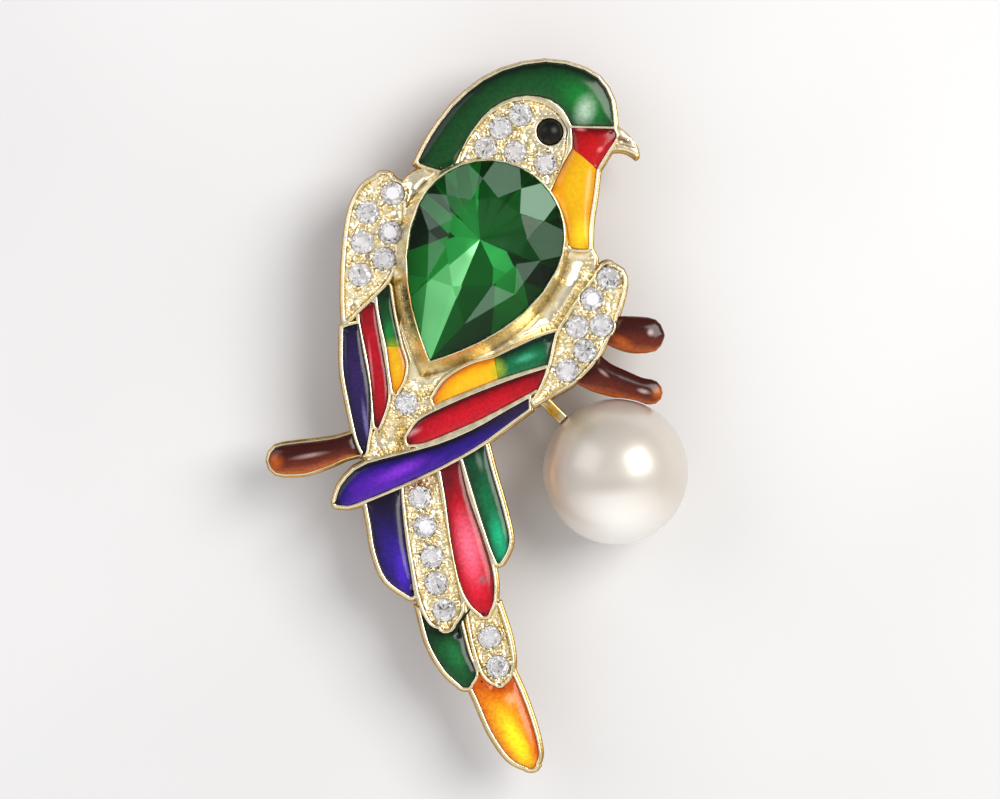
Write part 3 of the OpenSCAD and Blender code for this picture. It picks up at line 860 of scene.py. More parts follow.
@dataclass
class EnamelFill:
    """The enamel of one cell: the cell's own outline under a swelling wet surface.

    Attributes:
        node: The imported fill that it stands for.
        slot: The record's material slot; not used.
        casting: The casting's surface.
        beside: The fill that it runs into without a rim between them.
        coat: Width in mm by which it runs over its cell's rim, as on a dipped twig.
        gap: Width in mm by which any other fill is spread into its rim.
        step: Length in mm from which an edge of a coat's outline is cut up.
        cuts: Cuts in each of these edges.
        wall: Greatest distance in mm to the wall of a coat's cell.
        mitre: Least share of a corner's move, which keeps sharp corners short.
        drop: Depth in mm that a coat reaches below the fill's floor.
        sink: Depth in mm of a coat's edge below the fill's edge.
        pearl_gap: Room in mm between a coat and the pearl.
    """

    node: str
    finish: Material
    slot: str
    casting: BVHTree
    beside: str = ""
    coat: float = 0.0
    gap: float = 0.04
    step: float = 0.4
    cuts: int = 3
    wall: float = 0.6
    mitre: float = 0.6
    drop: float = 1.1
    sink: float = 0.02
    pearl_gap: float = 0.1

    def build(self) -> None:
        """Builds the fill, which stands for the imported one."""
        dome = COAT_DOME if self.coat else Dome()
        bm, floor, edge = floor_of(self.node)
        if self.coat:
            long = [e for e in bm.edges if e.calc_length() > self.step]
            bmesh.ops.subdivide_edges(bm, edges=long, cuts=self.cuts)
        self.spread(bm, (edge - floor) / 2)
        if self.coat:
            dome.prism(bm, floor - self.drop, edge - self.sink)
        else:
            dome.prism(bm, floor, edge)
        dome.cut(bm)
        dome.swell_up(bm, self.neighbour())
        if self.coat:
            self.clear_pearl(bm)
        add_piece(bm, f"{self.node}_enamel", self.finish, [self.node])

    def neighbour(self) -> BVHTree | None:
        """Takes the outline of the enamel that this one runs into.

        Returns:
            The outline at zero height, or nothing without such a neighbour.
        """
        if not self.beside:
            return None
        bm, floor, _ = floor_of(self.beside)
        bmesh.ops.translate(bm, vec=(0, 0, -floor), verts=bm.verts)
        tree = edge_tree(bm.edges)
        bm.free()
        return tree

    def spread(self, bm: Mesh, rise: float) -> None:
        """Widens the outline up to the cell's wall, or over its rim as on a dipped end.

        Args:
            bm: The flat outline.
            rise: Height above the outline at which the cell's wall is looked for.
        """
        moves = {}
        for v in bm.verts:
            ways = [outward(e) for e in v.link_edges if e.is_boundary]
            if len(ways) == 2:
                middle = (ways[0] + ways[1]).normalized()
                share = max(self.mitre, middle.dot(ways[0]))
                moves[v] = middle * (self.coat or self.gap) / share
                if self.coat:
                    hit = self.casting.ray_cast(v.co + UP * rise, middle, self.wall)
                    moves[v] += middle * (hit[3] or 0)
        for v, move in moves.items():
            v.co += move

    def clear_pearl(self, bm: Mesh) -> None:
        """Keeps the coat clear of the pearl.

        Args:
            bm: The coat.
        """
        low, high = (Vector(c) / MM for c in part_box("pearl"))
        middle = ((low + high) / 2).to_2d()
        clear = (high.z - low.z) / 2 + self.pearl_gap
        for v in bm.verts:
            away = v.co.to_2d() - middle
            if away.length < clear:
                v.co.xy = middle + away.normalized() * clear


@dataclass
class SmallStone:
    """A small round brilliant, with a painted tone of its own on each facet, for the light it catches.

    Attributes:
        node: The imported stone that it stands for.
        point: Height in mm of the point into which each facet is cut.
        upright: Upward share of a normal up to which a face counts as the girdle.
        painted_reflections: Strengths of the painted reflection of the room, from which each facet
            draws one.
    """

    node: str
    finish: Material
    point: float = 0.035
    upright: float = 0.05
    painted_reflections: tuple[float, ...] = (0.0, 0.0, 0.3, 0.7)

    def build(self) -> None:
        """Builds the stone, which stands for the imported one, with each facet cut in smaller ones."""
        bm = merged_copy(self.node)
        slopes = [f for f in bm.faces if self.upright < abs(f.normal.z) < FLAT]
        bmesh.ops.poke(bm, faces=slopes, offset=self.point)
        tone = bm.faces.layers.float.new(FACET)
        painted_reflection = bm.faces.layers.float.new(PAINTED_REFLECTION)
        # Each facet gets a random painted tone and, on the crown, a painted reflection of the room
        for f in bm.faces:
            f[tone] = random.random()
            f[painted_reflection] = random.choice(self.painted_reflections) if f.normal.z > self.upright else 0.0
        add_piece(bm, f"{self.node}_cut", self.finish, [self.node], 1)


@dataclass
class PearStone:
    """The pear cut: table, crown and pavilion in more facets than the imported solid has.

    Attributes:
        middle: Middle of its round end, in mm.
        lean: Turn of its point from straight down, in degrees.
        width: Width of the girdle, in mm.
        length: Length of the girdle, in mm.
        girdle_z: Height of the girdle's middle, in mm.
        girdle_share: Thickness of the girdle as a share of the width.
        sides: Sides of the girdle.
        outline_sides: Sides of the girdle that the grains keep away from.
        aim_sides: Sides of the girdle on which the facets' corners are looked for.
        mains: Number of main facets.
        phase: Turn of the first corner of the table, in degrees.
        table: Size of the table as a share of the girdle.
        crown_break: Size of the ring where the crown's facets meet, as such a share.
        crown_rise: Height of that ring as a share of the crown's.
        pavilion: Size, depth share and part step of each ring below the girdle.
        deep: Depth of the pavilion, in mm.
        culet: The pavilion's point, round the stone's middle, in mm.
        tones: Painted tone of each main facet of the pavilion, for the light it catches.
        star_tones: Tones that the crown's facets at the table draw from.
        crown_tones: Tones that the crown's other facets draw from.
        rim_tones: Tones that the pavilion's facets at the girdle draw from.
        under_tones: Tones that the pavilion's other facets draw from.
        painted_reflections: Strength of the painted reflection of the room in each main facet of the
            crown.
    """

    finish: Material
    middle: Vector = Vector((0.957, 15.563))
    lean: float = 25.0
    width: float = 13.0
    length: float = 18.3
    girdle_z: float = 9.85
    girdle_share: float = 0.03
    sides: int = 36
    outline_sides: int = 64
    aim_sides: int = 720
    mains: int = 9
    phase: float = 20.0
    table: float = 0.52
    crown_break: float = 0.77
    crown_rise: float = 0.576
    pavilion: tuple[tuple[float, float, float], ...] = ((0.68, 0.34, 0.0), (0.36, 0.66, 0.5))
    deep: float = 3.1
    culet: Vector = Vector((-0.56, -0.44))
    tones: tuple[float, ...] = (0.2, 0.3, 0.25, 0.5, 0.6, 0.65, 1.0, 0.3, 0.7)
    star_tones: tuple[float, ...] = (0.5, 0.75, 0.9, 1.0)
    crown_tones: tuple[float, ...] = (0.0, 0.0, 0.1, 0.4)
    rim_tones: tuple[float, ...] = (0.0, 0.1, 0.3, 0.7)
    under_tones: tuple[float, ...] = (0.2, 0.4, 0.6, 0.85)
    painted_reflections: tuple[float, ...] = (0.18, 0.72, 0.3, 0.22, 0.2, 0.12, 0.0, 0.28, 0.22)

    def girdle(self, steps: int) -> list[Vector]:
        """Draws the stone's outline, unturned and round its own middle.

        Args:
            steps: Number of points.

        Returns:
            The outline, a circle whose lower half is drawn out to a point.
        """
        r = self.width / 2
        found = []
        for turn in (math.tau * k / steps for k in range(steps)):
            x, y = r * math.cos(turn), r * math.sin(turn)
            if y < -1e-6:
                x = math.copysign(r * math.cos(turn) ** 2, math.cos(turn))
                y = (self.length - r) * math.sin(turn)
            found.append(Vector((x, y)))
        return found

    def placed(self, flat: Vector, z: float) -> Vector:
        """Returns a point of the outline, turned and moved to its place on the brooch."""
        turned = Matrix.Rotation(-math.radians(self.lean), 2) @ flat
        return Vector((*(turned + self.middle), z))

    def ring(
        self, share: float, z: float, shift: float = 0.0, middle: Vector = Vector((0, 0))
    ) -> list[Vector]:
        """Places one ring of facet corners, evenly spread as seen from its middle.

        Args:
            share: Share of the girdle's size.
            z: Height.
            shift: Part of a step by which the corners are turned.
            middle: Point that the outline is drawn in to.

        Returns:
            The corners.
        """
        fine = self.girdle(self.aim_sides)
        corners = []
        for k in range(self.mains):
            turn = math.radians(self.phase + 360 * (k + shift) / self.mains)
            aim = Vector((math.cos(turn), math.sin(turn)))
            far = max(fine, key=lambda p: (p - middle).normalized().dot(aim))
            corners.append(self.placed(middle.lerp(far, share), z))
        return corners

    def outline(self) -> BVHTree:
        """Draws the girdle at zero height.

        Returns:
            A tree of its edges.
        """
        bm = bmesh.new()
        bm.faces.new([bm.verts.new(self.placed(p, 0)) for p in self.girdle(self.outline_sides)])
        tree = edge_tree(bm.edges)
        bm.free()
        return tree

    def build(self) -> None:
        """Builds the stone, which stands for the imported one."""
        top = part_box("pear_stone")[1][2] / MM
        half = self.girdle_share * self.width / 2
        over, under = self.girdle_z + half, self.girdle_z - half
        rise = self.crown_rise * (top - self.girdle_z - half)
        points = [
            *self.ring(self.table, top),
            *self.ring(self.crown_break, over + rise, 0.5),
            *(self.placed(p, z) for p in self.girdle(self.sides) for z in (under, over)),
        ]
        for share, depth, shift in self.pavilion:
            points += self.ring(share, under - depth * self.deep, shift, self.culet)
        tip = self.placed(self.culet, under - self.deep)
        bm = bmesh.new()
        bmesh.ops.convex_hull(bm, input=[bm.verts.new(p) for p in (*points, tip)])
        bmesh.ops.dissolve_limit(bm, angle_limit=math.radians(4), verts=bm.verts, edges=bm.edges)
        tone = bm.faces.layers.float.new(FACET)
        painted_reflection = bm.faces.layers.float.new(PAINTED_REFLECTION)
        # Painted tones and painted reflections of the room, facet by facet
        for f in bm.faces:
            f[tone] = self.tone(f, tip, top)
            f[painted_reflection] = self.painted_reflection_share(f, top)
        add_piece(bm, "pear_cut", self.finish, ["pear_stone"], 1)

    def main_at(self, way: Vector) -> int:
        """Returns the number of the main facet that lies in this direction."""
        turn = math.degrees(math.atan2(way.y, way.x)) + self.lean - self.phase
        return round(turn / 360 * self.mains) % self.mains

    def painted_reflection_share(self, face: Face, top: float) -> float:
        """Tells how strongly the pale room's reflection is painted on a facet.

        Args:
            face: The facet.
            top: Height of the table.

        Returns:
            The strength from 0 to 1, which only the crown's main facets have.
        """
        corners = sum(v.co.z > top - TINY for v in face.verts)
        if face.normal.z <= 0 or corners != 1:
            return 0.0
        return self.painted_reflections[self.main_at(face.calc_center_median().xy - self.middle)]

    def tone(self, face: Face, tip: Vector, top: float) -> float:
        """Tells how light a facet is painted, for the light it catches.

        Args:
            face: The facet.
            tip: Place of the culet.
            top: Height of the table.

        Returns:
            The tone, from 0 to 1.
        """
        if face.normal.z > FLAT:
            return 1.0
        if any((v.co - tip).length < TINY for v in face.verts):
            return self.tones[self.main_at(face.calc_center_median() - tip)]
        if face.normal.z > 0 and any(v.co.z > top - TINY for v in face.verts):
            return random.choice(self.star_tones)
        if face.normal.z > 0:
            return random.choice(self.crown_tones)
        if any(v.co.z > tip.z + self.deep - TINY for v in face.verts):
            return random.choice(self.rim_tones)
        return random.choice(self.under_tones)


def spun(profile: Iterable[Vector], middle: Vector, steps: int) -> Mesh:
    """Spins a closed round body.

    Args:
        profile: Points in the XZ plane, from the axis round to the axis.
        middle: The axis's place.
        steps: Number of sides.

    Returns:
        The body.
    """
    bm = bmesh.new()
    verts = [bm.verts.new(p) for p in profile]
    edges = [bm.edges.new(pair) for pair in zip(verts, verts[1:])]
    bmesh.ops.spin(
        bm, geom=verts + edges, cent=(0, 0, 0), axis=UP, angle=math.tau, steps=steps,
        use_merge=True,
    )
    bmesh.ops.remove_doubles(bm, verts=bm.verts, dist=0.0005)
    bmesh.ops.translate(bm, vec=(middle.x, middle.y, 0), verts=bm.verts)
    bmesh.ops.recalc_face_normals(bm, faces=bm.faces)
    return bm


@dataclass
class EyeStone:
    """The black cabochon of the eye, a smooth dome on a short girdle."""

    finish: Material
    girdle: float = 0.7
    steps: int = 12
    sides: int = 64

    def build(self) -> None:
        """Spins the cabochon from its own profile."""
        low, high = (Vector(c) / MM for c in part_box("eye_stone"))
        r = (high.x - low.x) / 2
        rise = high.z - low.z - self.girdle
        ball = (r * r + rise * rise) / (2 * rise)
        turns = [math.asin(r / ball) * k / self.steps for k in range(self.steps + 1)]
        dome = [
            Vector((ball * math.sin(t), 0, high.z - ball * (1 - math.cos(t)))) for t in turns
        ]
        foot = [Vector((r, 0, low.z)), Vector((0, 0, low.z))]
        bm = spun([*dome, *foot], (low + high) / 2, self.sides)
        add_piece(bm, "eye_cabochon", self.finish, ["eye_stone"])


@dataclass
class Pearl:
    """The pearl, a smooth ball drilled for the peg of its arm.

    Attributes:
        hole: Radius of the drilled hole, in mm.
        deep: Depth of the hole from the ball's outside, in mm.
        arm_root: Place in mm from which the arm comes.
        steps: Steps in the ball's profile.
        sides: Sides round the hole's axis.
    """

    finish: Material
    hole: float = 0.5
    deep: float = 3.55
    arm_root: Vector = Vector((5.135, 2.087, 0))
    steps: int = 60
    sides: int = 96

    def build(self) -> None:
        """Spins the ball round its drilled hole and lays it along the arm."""
        low, high = (Vector(c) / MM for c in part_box("pearl"))
        middle = (low + high) / 2
        r = (high.z - low.z) / 2
        start = math.asin(self.hole / r)
        turns = [start + (math.pi - start) * k / self.steps for k in range(self.steps + 1)]
        ball = [Vector((r * math.sin(t), 0, r * math.cos(t))) for t in turns]
        bottom = r - self.deep
        drilled = [Vector((0, 0, bottom)), Vector((self.hole, 0, bottom))]
        bm = spun([*drilled, *ball], Vector(), self.sides)
        way = self.arm_root - middle
        way.z = 0
        turn = UP.rotation_difference(way.normalized()).to_matrix()
        bmesh.ops.rotate(bm, cent=(0, 0, 0), matrix=turn, verts=bm.verts)
        bmesh.ops.translate(bm, vec=middle, verts=bm.verts)
        add_piece(bm, "drilled_pearl", self.finish, ["pearl"], 60)


@dataclass
class PinBack:
    """The pin with its two feet, with broken edges as a stamped and polished part has.

    Attributes:
        round_off: Width of the rounded edges, in mm.
        square: Angle in degrees from which an edge is rounded.
        shortest: Length in mm from which it is.
    """

    finish: Material
    round_off: float = 0.12
    square: float = 60.0
    shortest: float = 0.5

    def build(self) -> None:
        """Builds the pin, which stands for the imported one."""
        bm = merged_copy("pin_back")
        angle = math.radians(self.square)
        square = [
            e for e in bm.edges
            if len(e.link_faces) == 2 and e.is_convex and e.calc_face_angle() > angle
            and e.calc_length() > self.shortest
        ]
        bmesh.ops.bevel(
            bm, geom=square, offset=self.round_off, affect="EDGES", segments=2, profile=0.5,
            clamp_overlap=True, material=-1,
        )
        add_piece(bm, "pin_and_feet", self.finish, ["pin_back"])


@dataclass
class Granules:
    """The sugary grains that fill the metal between the small stones.

    Attributes:
        finish: Their material.
        surface: The casting's surface.
        pear: The pear stone's girdle at zero height.
        pitch: Distance between grains, in mm.
        jitter: Greatest shift of a grain each way, in mm.
        sizes: Least and greatest radius, in mm.
        clear: Distance in mm to an edge that a grain keeps.
        smooth: Width of the polished band round the pear stone, in mm.
        lift: Height of a grain's middle over the ground, as a share of its radius.
        even: Greatest difference in height, in mm, of flat ground.
        above: Height in mm over the whole brooch, from which the ground is looked for.
        levels: Heights of the grounds round the small stones, in mm.
    """

    finish: Material
    surface: BVHTree
    pear: BVHTree
    pitch: float = 0.44
    jitter: float = 0.08
    sizes: tuple[float, float] = (0.13, 0.2)
    clear: float = 0.15
    smooth: float = 2.1
    lift: float = 0.2
    even: float = 0.04
    above: float = 20.0
    levels: set[float] = field(default_factory=lambda: {
        round(top - BED, 2) for _, _, top in small_stones().values()
    })

    def ground(self, x: float, y: float) -> float | None:
        """Looks for flat ground.

        Args:
            x: Place across the brooch, in mm.
            y: Place along it, in mm.

        Returns:
            The ground's height in mm, or nothing if it is too near an edge.
        """
        if self.pear.find_nearest(Vector((x, y, 0)), self.smooth)[0]:
            return None
        heights = []
        for dx, dy in ((0, 0), (1, 0), (-1, 0), (0, 1), (0, -1)):
            start = Vector((x + dx * self.clear, y + dy * self.clear, self.above))
            hit = self.surface.ray_cast(start, -UP)
            if hit[0] is None:
                return None
            heights.append(hit[0].z)
        known = any(abs(heights[0] - z) < self.even / 2 for z in self.levels)
        return heights[0] if known and max(heights) - min(heights) < self.even else None

    def row(self, y: float, left: float, right: float) -> Mesh:
        """Makes one row of grains, each set a little off its even place.

        Args:
            y: The row's place along the brooch, in mm.
            left: Its start, in mm.
            right: Its end, in mm.

        Returns:
            The row's mesh.
        """
        bm = bmesh.new()
        for i in range(int((right - left) / self.pitch)):
            x = left + i * self.pitch + random.uniform(-1, 1) * self.jitter
            beside = y + random.uniform(-1, 1) * self.jitter
            level = self.ground(x, beside)
            if level is not None:
                r = random.uniform(*self.sizes)
                place = Matrix.Translation((x, beside, level + self.lift * r))
                bmesh.ops.create_icosphere(bm, subdivisions=1, radius=r, matrix=place)
        return bm

    def build(self) -> None:
        """Makes all grains as one piece, each second row half a step aside."""
        low, high = (Vector(c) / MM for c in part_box("casting"))
        grains = bmesh.new()
        rise = self.pitch * math.sqrt(0.75)
        held = bpy.data.meshes.new("grain_row")
        for j in range(int((high.y - low.y) / rise)):
            row = self.row(low.y + j * rise, low.x + 0.5 * (j % 2) * self.pitch, high.x)
            row.to_mesh(held)
            row.free()
            grains.from_mesh(held)
        bpy.data.meshes.remove(held)
        add_piece(grains, "gilt_granules", self.finish, (), 80)


class Side(Enum):
    """The two halves of the beak, each with its outline in mm."""

    UPPER = ((12.1, 25.5), (12.8, 24.9), (13.4, 24.25), (13.85, 23.7), (13.0, 23.95), (12.1, 24.2))
    LOWER = (
        (12.1, 23.95), (13.0, 23.7), (13.9, 23.45), (14.1, 23.1), (14.0, 22.75), (13.6, 22.85),
        (13.0, 23.1), (12.1, 23.25),
    )


@dataclass
class Mandible:
    """One half of the beak, a polished swelling on the beak's plate."""

    side: Side
    finish: Material
    floor: float = 7.2
    edge: float = 7.33
    dome: Dome = field(default_factory=lambda: Dome(swell=0.75, soft=0.1, mesh_size=0.12))

    def build(self) -> None:
        """Builds the mandible."""
        bm = bmesh.new()
        bm.faces.new([bm.verts.new((x, y, self.floor)) for x, y in self.side.value])
        self.dome.prism(bm, self.floor, self.edge)
        self.dome.cut(bm)
        self.dome.swell_up(bm)
        name = f"beak_{self.side.name.lower()}_half"
        add_piece(bm, name, self.finish, (), 50)


@dataclass(frozen=True)
class Cell:
    """What one enamel cell gets: its slot, its glass, the cell it runs into and its coat."""

    slot: str
    glass: EnamelGlass
    beside: str = ""
    coat: float = 0.0


# Bottle green enamel, nearly black at a rim as painted shade
GREEN = ("#031c0a", "#063e17", "#0a4e1d")
# Toffee brown enamel: dark as painted shade on a twig's upper side, orange as painted light on its
# lower side, and a little lighter where it stands thick
BROWN = ("#380c05", "#642210", "#ac5418")
# A twig's coat shows its round section in painted shade on its upper side and painted light on its
# lower side, with few clouds
TWIG = {"shade": 1.5, "mottle": 0.2, "deep": 0.35}

# Most patches are painted light and shade: pale ones painted highlights and reflections of the
# windows, bright ones a painted glow in the enamel, dark ones painted shade, mostly on a cell's upper
# part; the olive ones blend two enamels at their seam
CELLS: dict[str, Cell] = {
    "head_cap": Cell("green_enamel", EnamelGlass(
        "cap_green_enamel", *GREEN,
        (
            Glow(9.3, 27.3, 3.6, 2.2, -40, "#0c8230", 0.8),
            Glow(9.4, 26.6, 1.3, 1.9, -15, "#c4dcc8", 0.7),
        ),
    )),
    "lore": Cell("red_enamel", EnamelGlass(
        "lore_red_enamel", "#6a0008", "#a8020a", "#bc0612",
        (
            Glow(9.0, 25.0, 0.7, 0.3, -10, "#ff9aa8", 0.6),
            Glow(10.7, 23.2, 0.5, 0.3, 40, "#ff9aa8", 0.5),
        ),
    ), "throat"),
    "throat": Cell("yellow_enamel", EnamelGlass(
        "throat_yellow_enamel", "#cc8202", "#dc9e06", "#e4b00a",
        (
            Glow(9.0, 15.8, 1.3, 2.4, 0, "#fbdc20", 0.8),
            Glow(7.2, 19.5, 0.7, 3.0, 0, "#f09a08", 0.6),
        ), speck=0.07,
    ), "lore"),
    "left_wing_purple": Cell("purple_enamel", EnamelGlass(
        "wing_purple_enamel", "#0c0722", "#1e123e", "#2c1a54",
        (Glow(-9.7, -0.4, 0.3, 2.6, 8, "#8d86c9", 0.55),),
    )),
    "left_wing_red": Cell("red_enamel", EnamelGlass(
        "left_wing_red_enamel", "#50000c", "#920212", "#ac061c",
        (
            Glow(-9.6, 8.6, 1.2, 1.8, 0, "#7c0410", 0.7),
            Glow(-9.2, 4.5, 0.18, 3.0, 6, "#ff9aa8", 0.4),
        ),
    )),
    "left_wing_green": Cell("green_enamel", EnamelGlass(
        "left_wing_green_enamel", "#03200c", "#08421a", "#0e5a26",
        (
            Glow(-8.4, 10.4, 1.6, 2.8, 0, "#031c0c", 0.7),
            Glow(-7.6, 7.3, 0.7, 1.6, 0, "#1f9440", 0.7),
            Glow(-7.2, 6.2, 1.3, 0.9, 0, "#8aa41c", 0.85),
        ),
    ), "left_wing_yellow"),
    "left_wing_yellow": Cell("yellow_enamel", EnamelGlass(
        "left_wing_yellow_enamel", "#c87406", "#e09a0c", "#eab41c",
        (Glow(-7.1, 6.4, 1.3, 0.7, 0, "#a0a81c", 0.7),), speck=0.07,
    ), "left_wing_green"),
    "right_wing_green": Cell("sea_green_enamel", EnamelGlass(
        "right_wing_green_enamel", "#032014", "#07482c", "#0c6a3e",
        (
            Glow(4.2, 5.1, 1.5, 0.5, 20, "#48b894", 0.65),
            Glow(1.7, 4.1, 1.2, 1.4, 20, "#a4b41c", 0.85),
        ),
    ), "right_wing_yellow"),
    "right_wing_yellow": Cell("yellow_enamel", EnamelGlass(
        "right_wing_yellow_enamel", "#cc7004", "#e8a00a", "#f0b818",
        (Glow(1.6, 4.0, 0.8, 1.3, 0, "#b4b41c", 0.7),), speck=0.07,
    ), "right_wing_green"),
    "right_wing_red": Cell("red_enamel", EnamelGlass(
        "right_wing_red_enamel", "#56000a", "#a00214", "#be0620",
        (Glow(-5.6, -1.4, 1.2, 0.4, 25, "#f49aa6", 0.6),),
    )),
    "right_wing_purple": Cell("violet_enamel", EnamelGlass(
        "long_violet_enamel", "#0c0628", "#260c78", "#4c14a0",
        (
            Glow(-6.7, -4.7, 3.4, 0.8, 25, "#8430d4", 0.75),
            Glow(3.2, 0.6, 4.8, 1.7, 28, "#241a38", 0.95),
        ),
    )),
    "tail_purple": Cell("violet_enamel", EnamelGlass(
        "tail_purple_enamel", "#0a0520", "#1c0e4c", "#2e1886",
        (
            Glow(-7.8, -7.6, 3.6, 5.0, 0, "#120826", 0.95),
            Glow(-6.5, -13.4, 1.0, 3.4, 8, "#4a22c4", 0.8),
        ),
    )),
    "tail_red": Cell("rose_red_enamel", EnamelGlass(
        "tail_red_enamel", "#5e0010", "#b4041a", "#dc1a34",
        (
            Glow(-2.6, -5.3, 2.0, 3.4, 10, "#5a0a14", 0.9),
            Glow(-0.7, -11.4, 1.5, 4.4, 12, "#fa7490", 0.85),
            Glow(0.5, -14.2, 0.6, 0.6, 0, "#8a6a72", 0.7),
        ),
    )),
    "tail_green": Cell("sea_green_enamel", EnamelGlass(
        "tail_green_enamel", "#032214", "#084a2a", "#0c6a3e",
        (
            Glow(0.2, -4.0, 0.4, 1.2, 15, "#a8b4aa", 0.6),
            Glow(-0.2, -5.0, 2.0, 3.0, 0, "#04301c", 0.7),
            Glow(1.9, -10.6, 1.0, 3.2, 10, "#1cb882", 0.85),
        ),
    )),
    "lower_tail_green": Cell("green_enamel", EnamelGlass(
        "lower_tail_green_enamel", "#031c0c", "#083c1a", "#10562a",
        (Glow(-1.9, -20.7, 0.9, 2.4, 25, "#1f7a3e", 0.6),),
    )),
    "tail_tip_orange": Cell("orange_enamel", EnamelGlass(
        "tip_orange_enamel", "#c05204", "#e67c0a", "#f4a812",
        (
            Glow(3.4, -28.2, 1.2, 4.0, 28, "#fff01e", 0.95),
            Glow(2.9, -24.6, 0.7, 0.8, 0, "#ffc890", 0.6),
        ),
    )),
    "left_twig": Cell("brown_enamel", EnamelGlass(
        "left_twig_brown_enamel", *BROWN,
        (
            Glow(-14.6, -3.4, 2.2, 0.3, 10, "#c0a49c", 0.6),
            Glow(-17.6, -4.0, 1.1, 1.2, 0, "#c05a10", 0.8),
        ), **TWIG,
    ), coat=0.1),
    "right_twig_upper": Cell("brown_enamel", EnamelGlass(
        "upper_twig_brown_enamel", *BROWN,
        (
            Glow(12.6, 6.5, 1.6, 0.7, -25, "#c05a10", 0.7),
            Glow(15.1, 7.3, 0.4, 0.45, 25, "#dcc8c4", 0.7),
        ), **TWIG,
    ), coat=0.48),
    "right_twig_lower": Cell("brown_enamel", EnamelGlass(
        "lower_twig_brown_enamel", *BROWN,
        (
            Glow(15.8, 2.1, 0.9, 0.9, 0, "#c46410", 0.8),
            Glow(11.0, 3.8, 0.8, 0.25, -40, "#c8a8a0", 0.6),
            Glow(14.5, 2.2, 0.8, 0.3, -15, "#dcc8c4", 0.6),
        ), **TWIG,
    ), coat=0.48),
}

# Clear glass stones: painted white flashes with a few painted grey facets between them
CLEAR = FoiledGlass(
    "clear_foiled_glass",
    tint=((0.0, "#ffffff"),),
    foil=((0.0, "#5c5a62"), (0.12, "#b8b6bc"), (0.3, "#ffffff"), (1.0, "#ffffff")),
    ior=1.5, foil_roughness=0.2, shine=0.12, painted_reflection="#fbfaff",
)
# Emerald green glass: facets painted deep beside facets painted glowing, under a painted grey-green
# reflection of the room.
# A low IOR leaves the pavilion's facets wide under the crown.
GREEN_CUT = FoiledGlass(
    "green_foiled_glass",
    tint=((0.0, "#347a46"), (0.4, "#7cbc8c"), (1.0, "#ffffff")),
    foil=((0.0, "#063812"), (0.4, "#0c7a28"), (0.7, "#34c058"), (1.0, "#98ffac")),
    ior=1.3, foil_roughness=0.16, shine=0.2, painted_reflection="#8fb29b",
)
# Patches on the metal: ochre, yellow and darker olive spots, a painted ochre shade on the slope beside
# the pear stone, a painted dark shade in the groove between the beak's halves, and a painted
# reflection of the red enamel beside it
SPOTS_SHADE_AND_REFLECTIONS = (
    Glow(6.5, 0.3, 1.6, 2.2, 0, "#c8920e", 1.0),
    # Painted ochre shade on the slope beside the pear stone
    Glow(-5.7, 10.0, 0.9, 4.6, 11.5, "#a8741c", 0.85),
    # Painted dark shade in the groove between the beak's halves
    Glow(12.7, 24.1, 1.4, 0.35, -23, "#70351a", 0.9),
    Glow(-6.7, -1.6, 0.8, 2.2, 0, "#d9b044", 0.7),
    Glow(-5.2, 5.2, 0.8, 0.8, 0, "#a58a40", 0.7),
    Glow(-4.3, 3.4, 0.7, 0.7, 0, "#a58a40", 0.6),
    Glow(-8.4, -1.5, 0.7, 0.7, 0, "#a58a40", 0.6),
    # Painted reddish reflection of the red enamel beside it
    Glow(-5.0, -6.2, 2.0, 1.6, 0, "#9a5a44", 0.7),
)
GILT = GiltMetal(tints=SPOTS_SHADE_AND_REFLECTIONS)
# The same gilding on the grains, with the same painted shade and patches, which glitter paler and less
# sharply
GRAINS = GiltMetal("granulated_gilding", "#fff6de", "#eddca6", "#c8a04c", 0.32, tints=SPOTS_SHADE_AND_REFLECTIONS)


@dataclass
class Brooch:
    """The whole brooch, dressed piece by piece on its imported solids."""

    gilt: Material = field(default_factory=GILT.material)

    def build(self) -> None:
        """Builds and dresses every piece."""
        surface = Casting(self.gilt).build()
        pear = PearStone(GREEN_CUT.material())
        Granules(GRAINS.material(), surface, pear.outline()).build()
        pear.build()
        PinBack(self.gilt).build()
        for side in Side:
            Mandible(side, self.gilt).build()
        for node, cell in CELLS.items():
            glass = cell.glass.material()
            EnamelFill(node, glass, cell.slot, surface, cell.beside, cell.coat).build()
        clear = CLEAR.material()
        for node in small_stones():
            SmallStone(node, clear).build()
        EyeStone(BlackGlass().material()).build()
        Pearl(PearlCoat().material()).build()


@dataclass(frozen=True)
class SoftLight:
    """A soft box: where it stands round the brooch, its size, power and colour."""

    name: str
    way: tuple[float, float, float]
    distance: float
    size: float
    power: float
    colour: str

    def build(self, aim: Vector) -> None:
        """Hangs the soft box and turns it to the brooch.

        Args:
            aim: Place that it shines on.
        """
        data = bpy.data.lights.new(self.name, "AREA")
        data.shape = "RECTANGLE"
        data.size = self.size
        data.size_y = self.size
        data.energy = self.power
        data.color = linear(self.colour)[:3]
        lamp = bpy.data.objects.new(self.name, data)
        way = Vector(self.way).normalized()
        lamp.location = aim + way * self.distance
        lamp.rotation_mode = "QUATERNION"
        lamp.rotation_quaternion = way.to_track_quat("Z", "Y")
        bpy.context.scene.collection.objects.link(lamp)


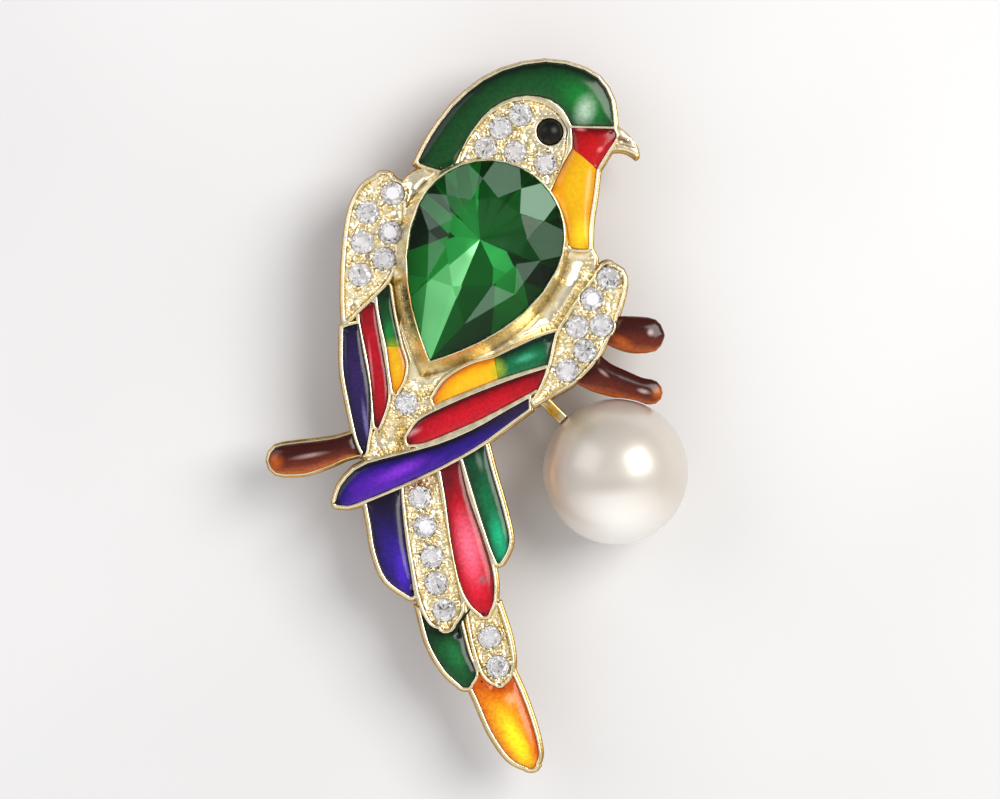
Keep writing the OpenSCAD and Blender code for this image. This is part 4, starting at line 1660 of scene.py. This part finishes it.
@dataclass
class Studio:
    """Floor, light and camera of the picture.

    Attributes:
        centre: Place that the camera and the lights are aimed at.
        distance: Distance of the camera from it.
        seen_width: Width of the picture at that place.
        floor_reach: Half the floor's width.
        floor_gap: Gap between the floor and the brooch.
        lights: The soft boxes, placed as the highlights on the pearl show them.
    """

    centre: Vector = field(default_factory=lambda: Vector((2.0, 1.48, 8.0)) * MM)
    distance: float = 0.35
    seen_width: float = 0.08696
    floor_reach: float = 1.5
    floor_gap: float = 0.05 * MM
    lights: tuple[SoftLight, ...] = (
        SoftLight("window", (0.57, 0.28, 0.77), 0.6, 0.36, 3.0, "#fffcf8"),
        SoftLight("left_box", (-0.7, 0.35, 0.62), 0.7, 0.5, 1.2, "#f6f8ff"),
    )

    def build(self) -> None:
        """Builds the studio."""
        self.floor()
        self.sky()
        for light in self.lights:
            light.build(self.centre)
        self.camera()
        bpy.context.scene.view_settings.view_transform = "Standard"

    def floor(self) -> None:
        """Lays a wide pale surface under the brooch."""
        bm = bmesh.new()
        bmesh.ops.create_grid(bm, x_segments=8, y_segments=8, size=self.floor_reach)
        mesh = bpy.data.meshes.new("studio_floor")
        bm.to_mesh(mesh)
        bm.free()
        mesh.materials.append(StudioFloor().material())
        floor = bpy.data.objects.new("studio_floor", mesh)
        floor.location.z = CAD_BOUNDS[0].z - self.floor_gap
        bpy.context.scene.collection.objects.link(floor)

    def sky(self) -> None:
        """Lights the surroundings, pale on the near side and duller on the far one."""
        world = bpy.data.worlds.new("soft_studio")
        world.use_nodes = True
        tree = world.node_tree
        tree.nodes.clear()
        way = add_node(tree, "ShaderNodeTexCoord").outputs["Generated"]
        y = add_node(tree, "ShaderNodeSeparateXYZ", {0: way}).outputs["Y"]
        near = add_node(tree, "ShaderNodeMapRange", {0: y, 1: 1.0, 2: -1.0}).outputs[0]
        ramp = add_node(tree, "ShaderNodeValToRGB", {"Fac": near})
        fill_ramp(ramp, ((0.1, "#868686"), (0.68, "#c4c3c2"), (0.82, "#f8f7f6")))
        back = add_node(tree, "ShaderNodeBackground", {"Color": ramp.outputs[0], "Strength": 1.1})
        add_node(tree, "ShaderNodeOutputWorld", {"Surface": back.outputs[0]})
        bpy.context.scene.world = world

    def camera(self) -> None:
        """Looks straight down on the brooch, as the photograph does."""
        data = bpy.data.cameras.new("camera")
        data.sensor_width = 36
        data.lens = data.sensor_width * self.distance / self.seen_width
        data.clip_start = 0.01
        camera = bpy.data.objects.new("camera", data)
        camera.location = self.centre + UP * self.distance
        bpy.context.scene.collection.objects.link(camera)
        bpy.context.scene.camera = camera


def main() -> None:
    """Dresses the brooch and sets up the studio."""
    logging.basicConfig(level=logging.INFO, format="%(message)s")
    random.seed(7)
    Brooch().build()
    Studio().build()


if __name__ == "__main__":
    main()
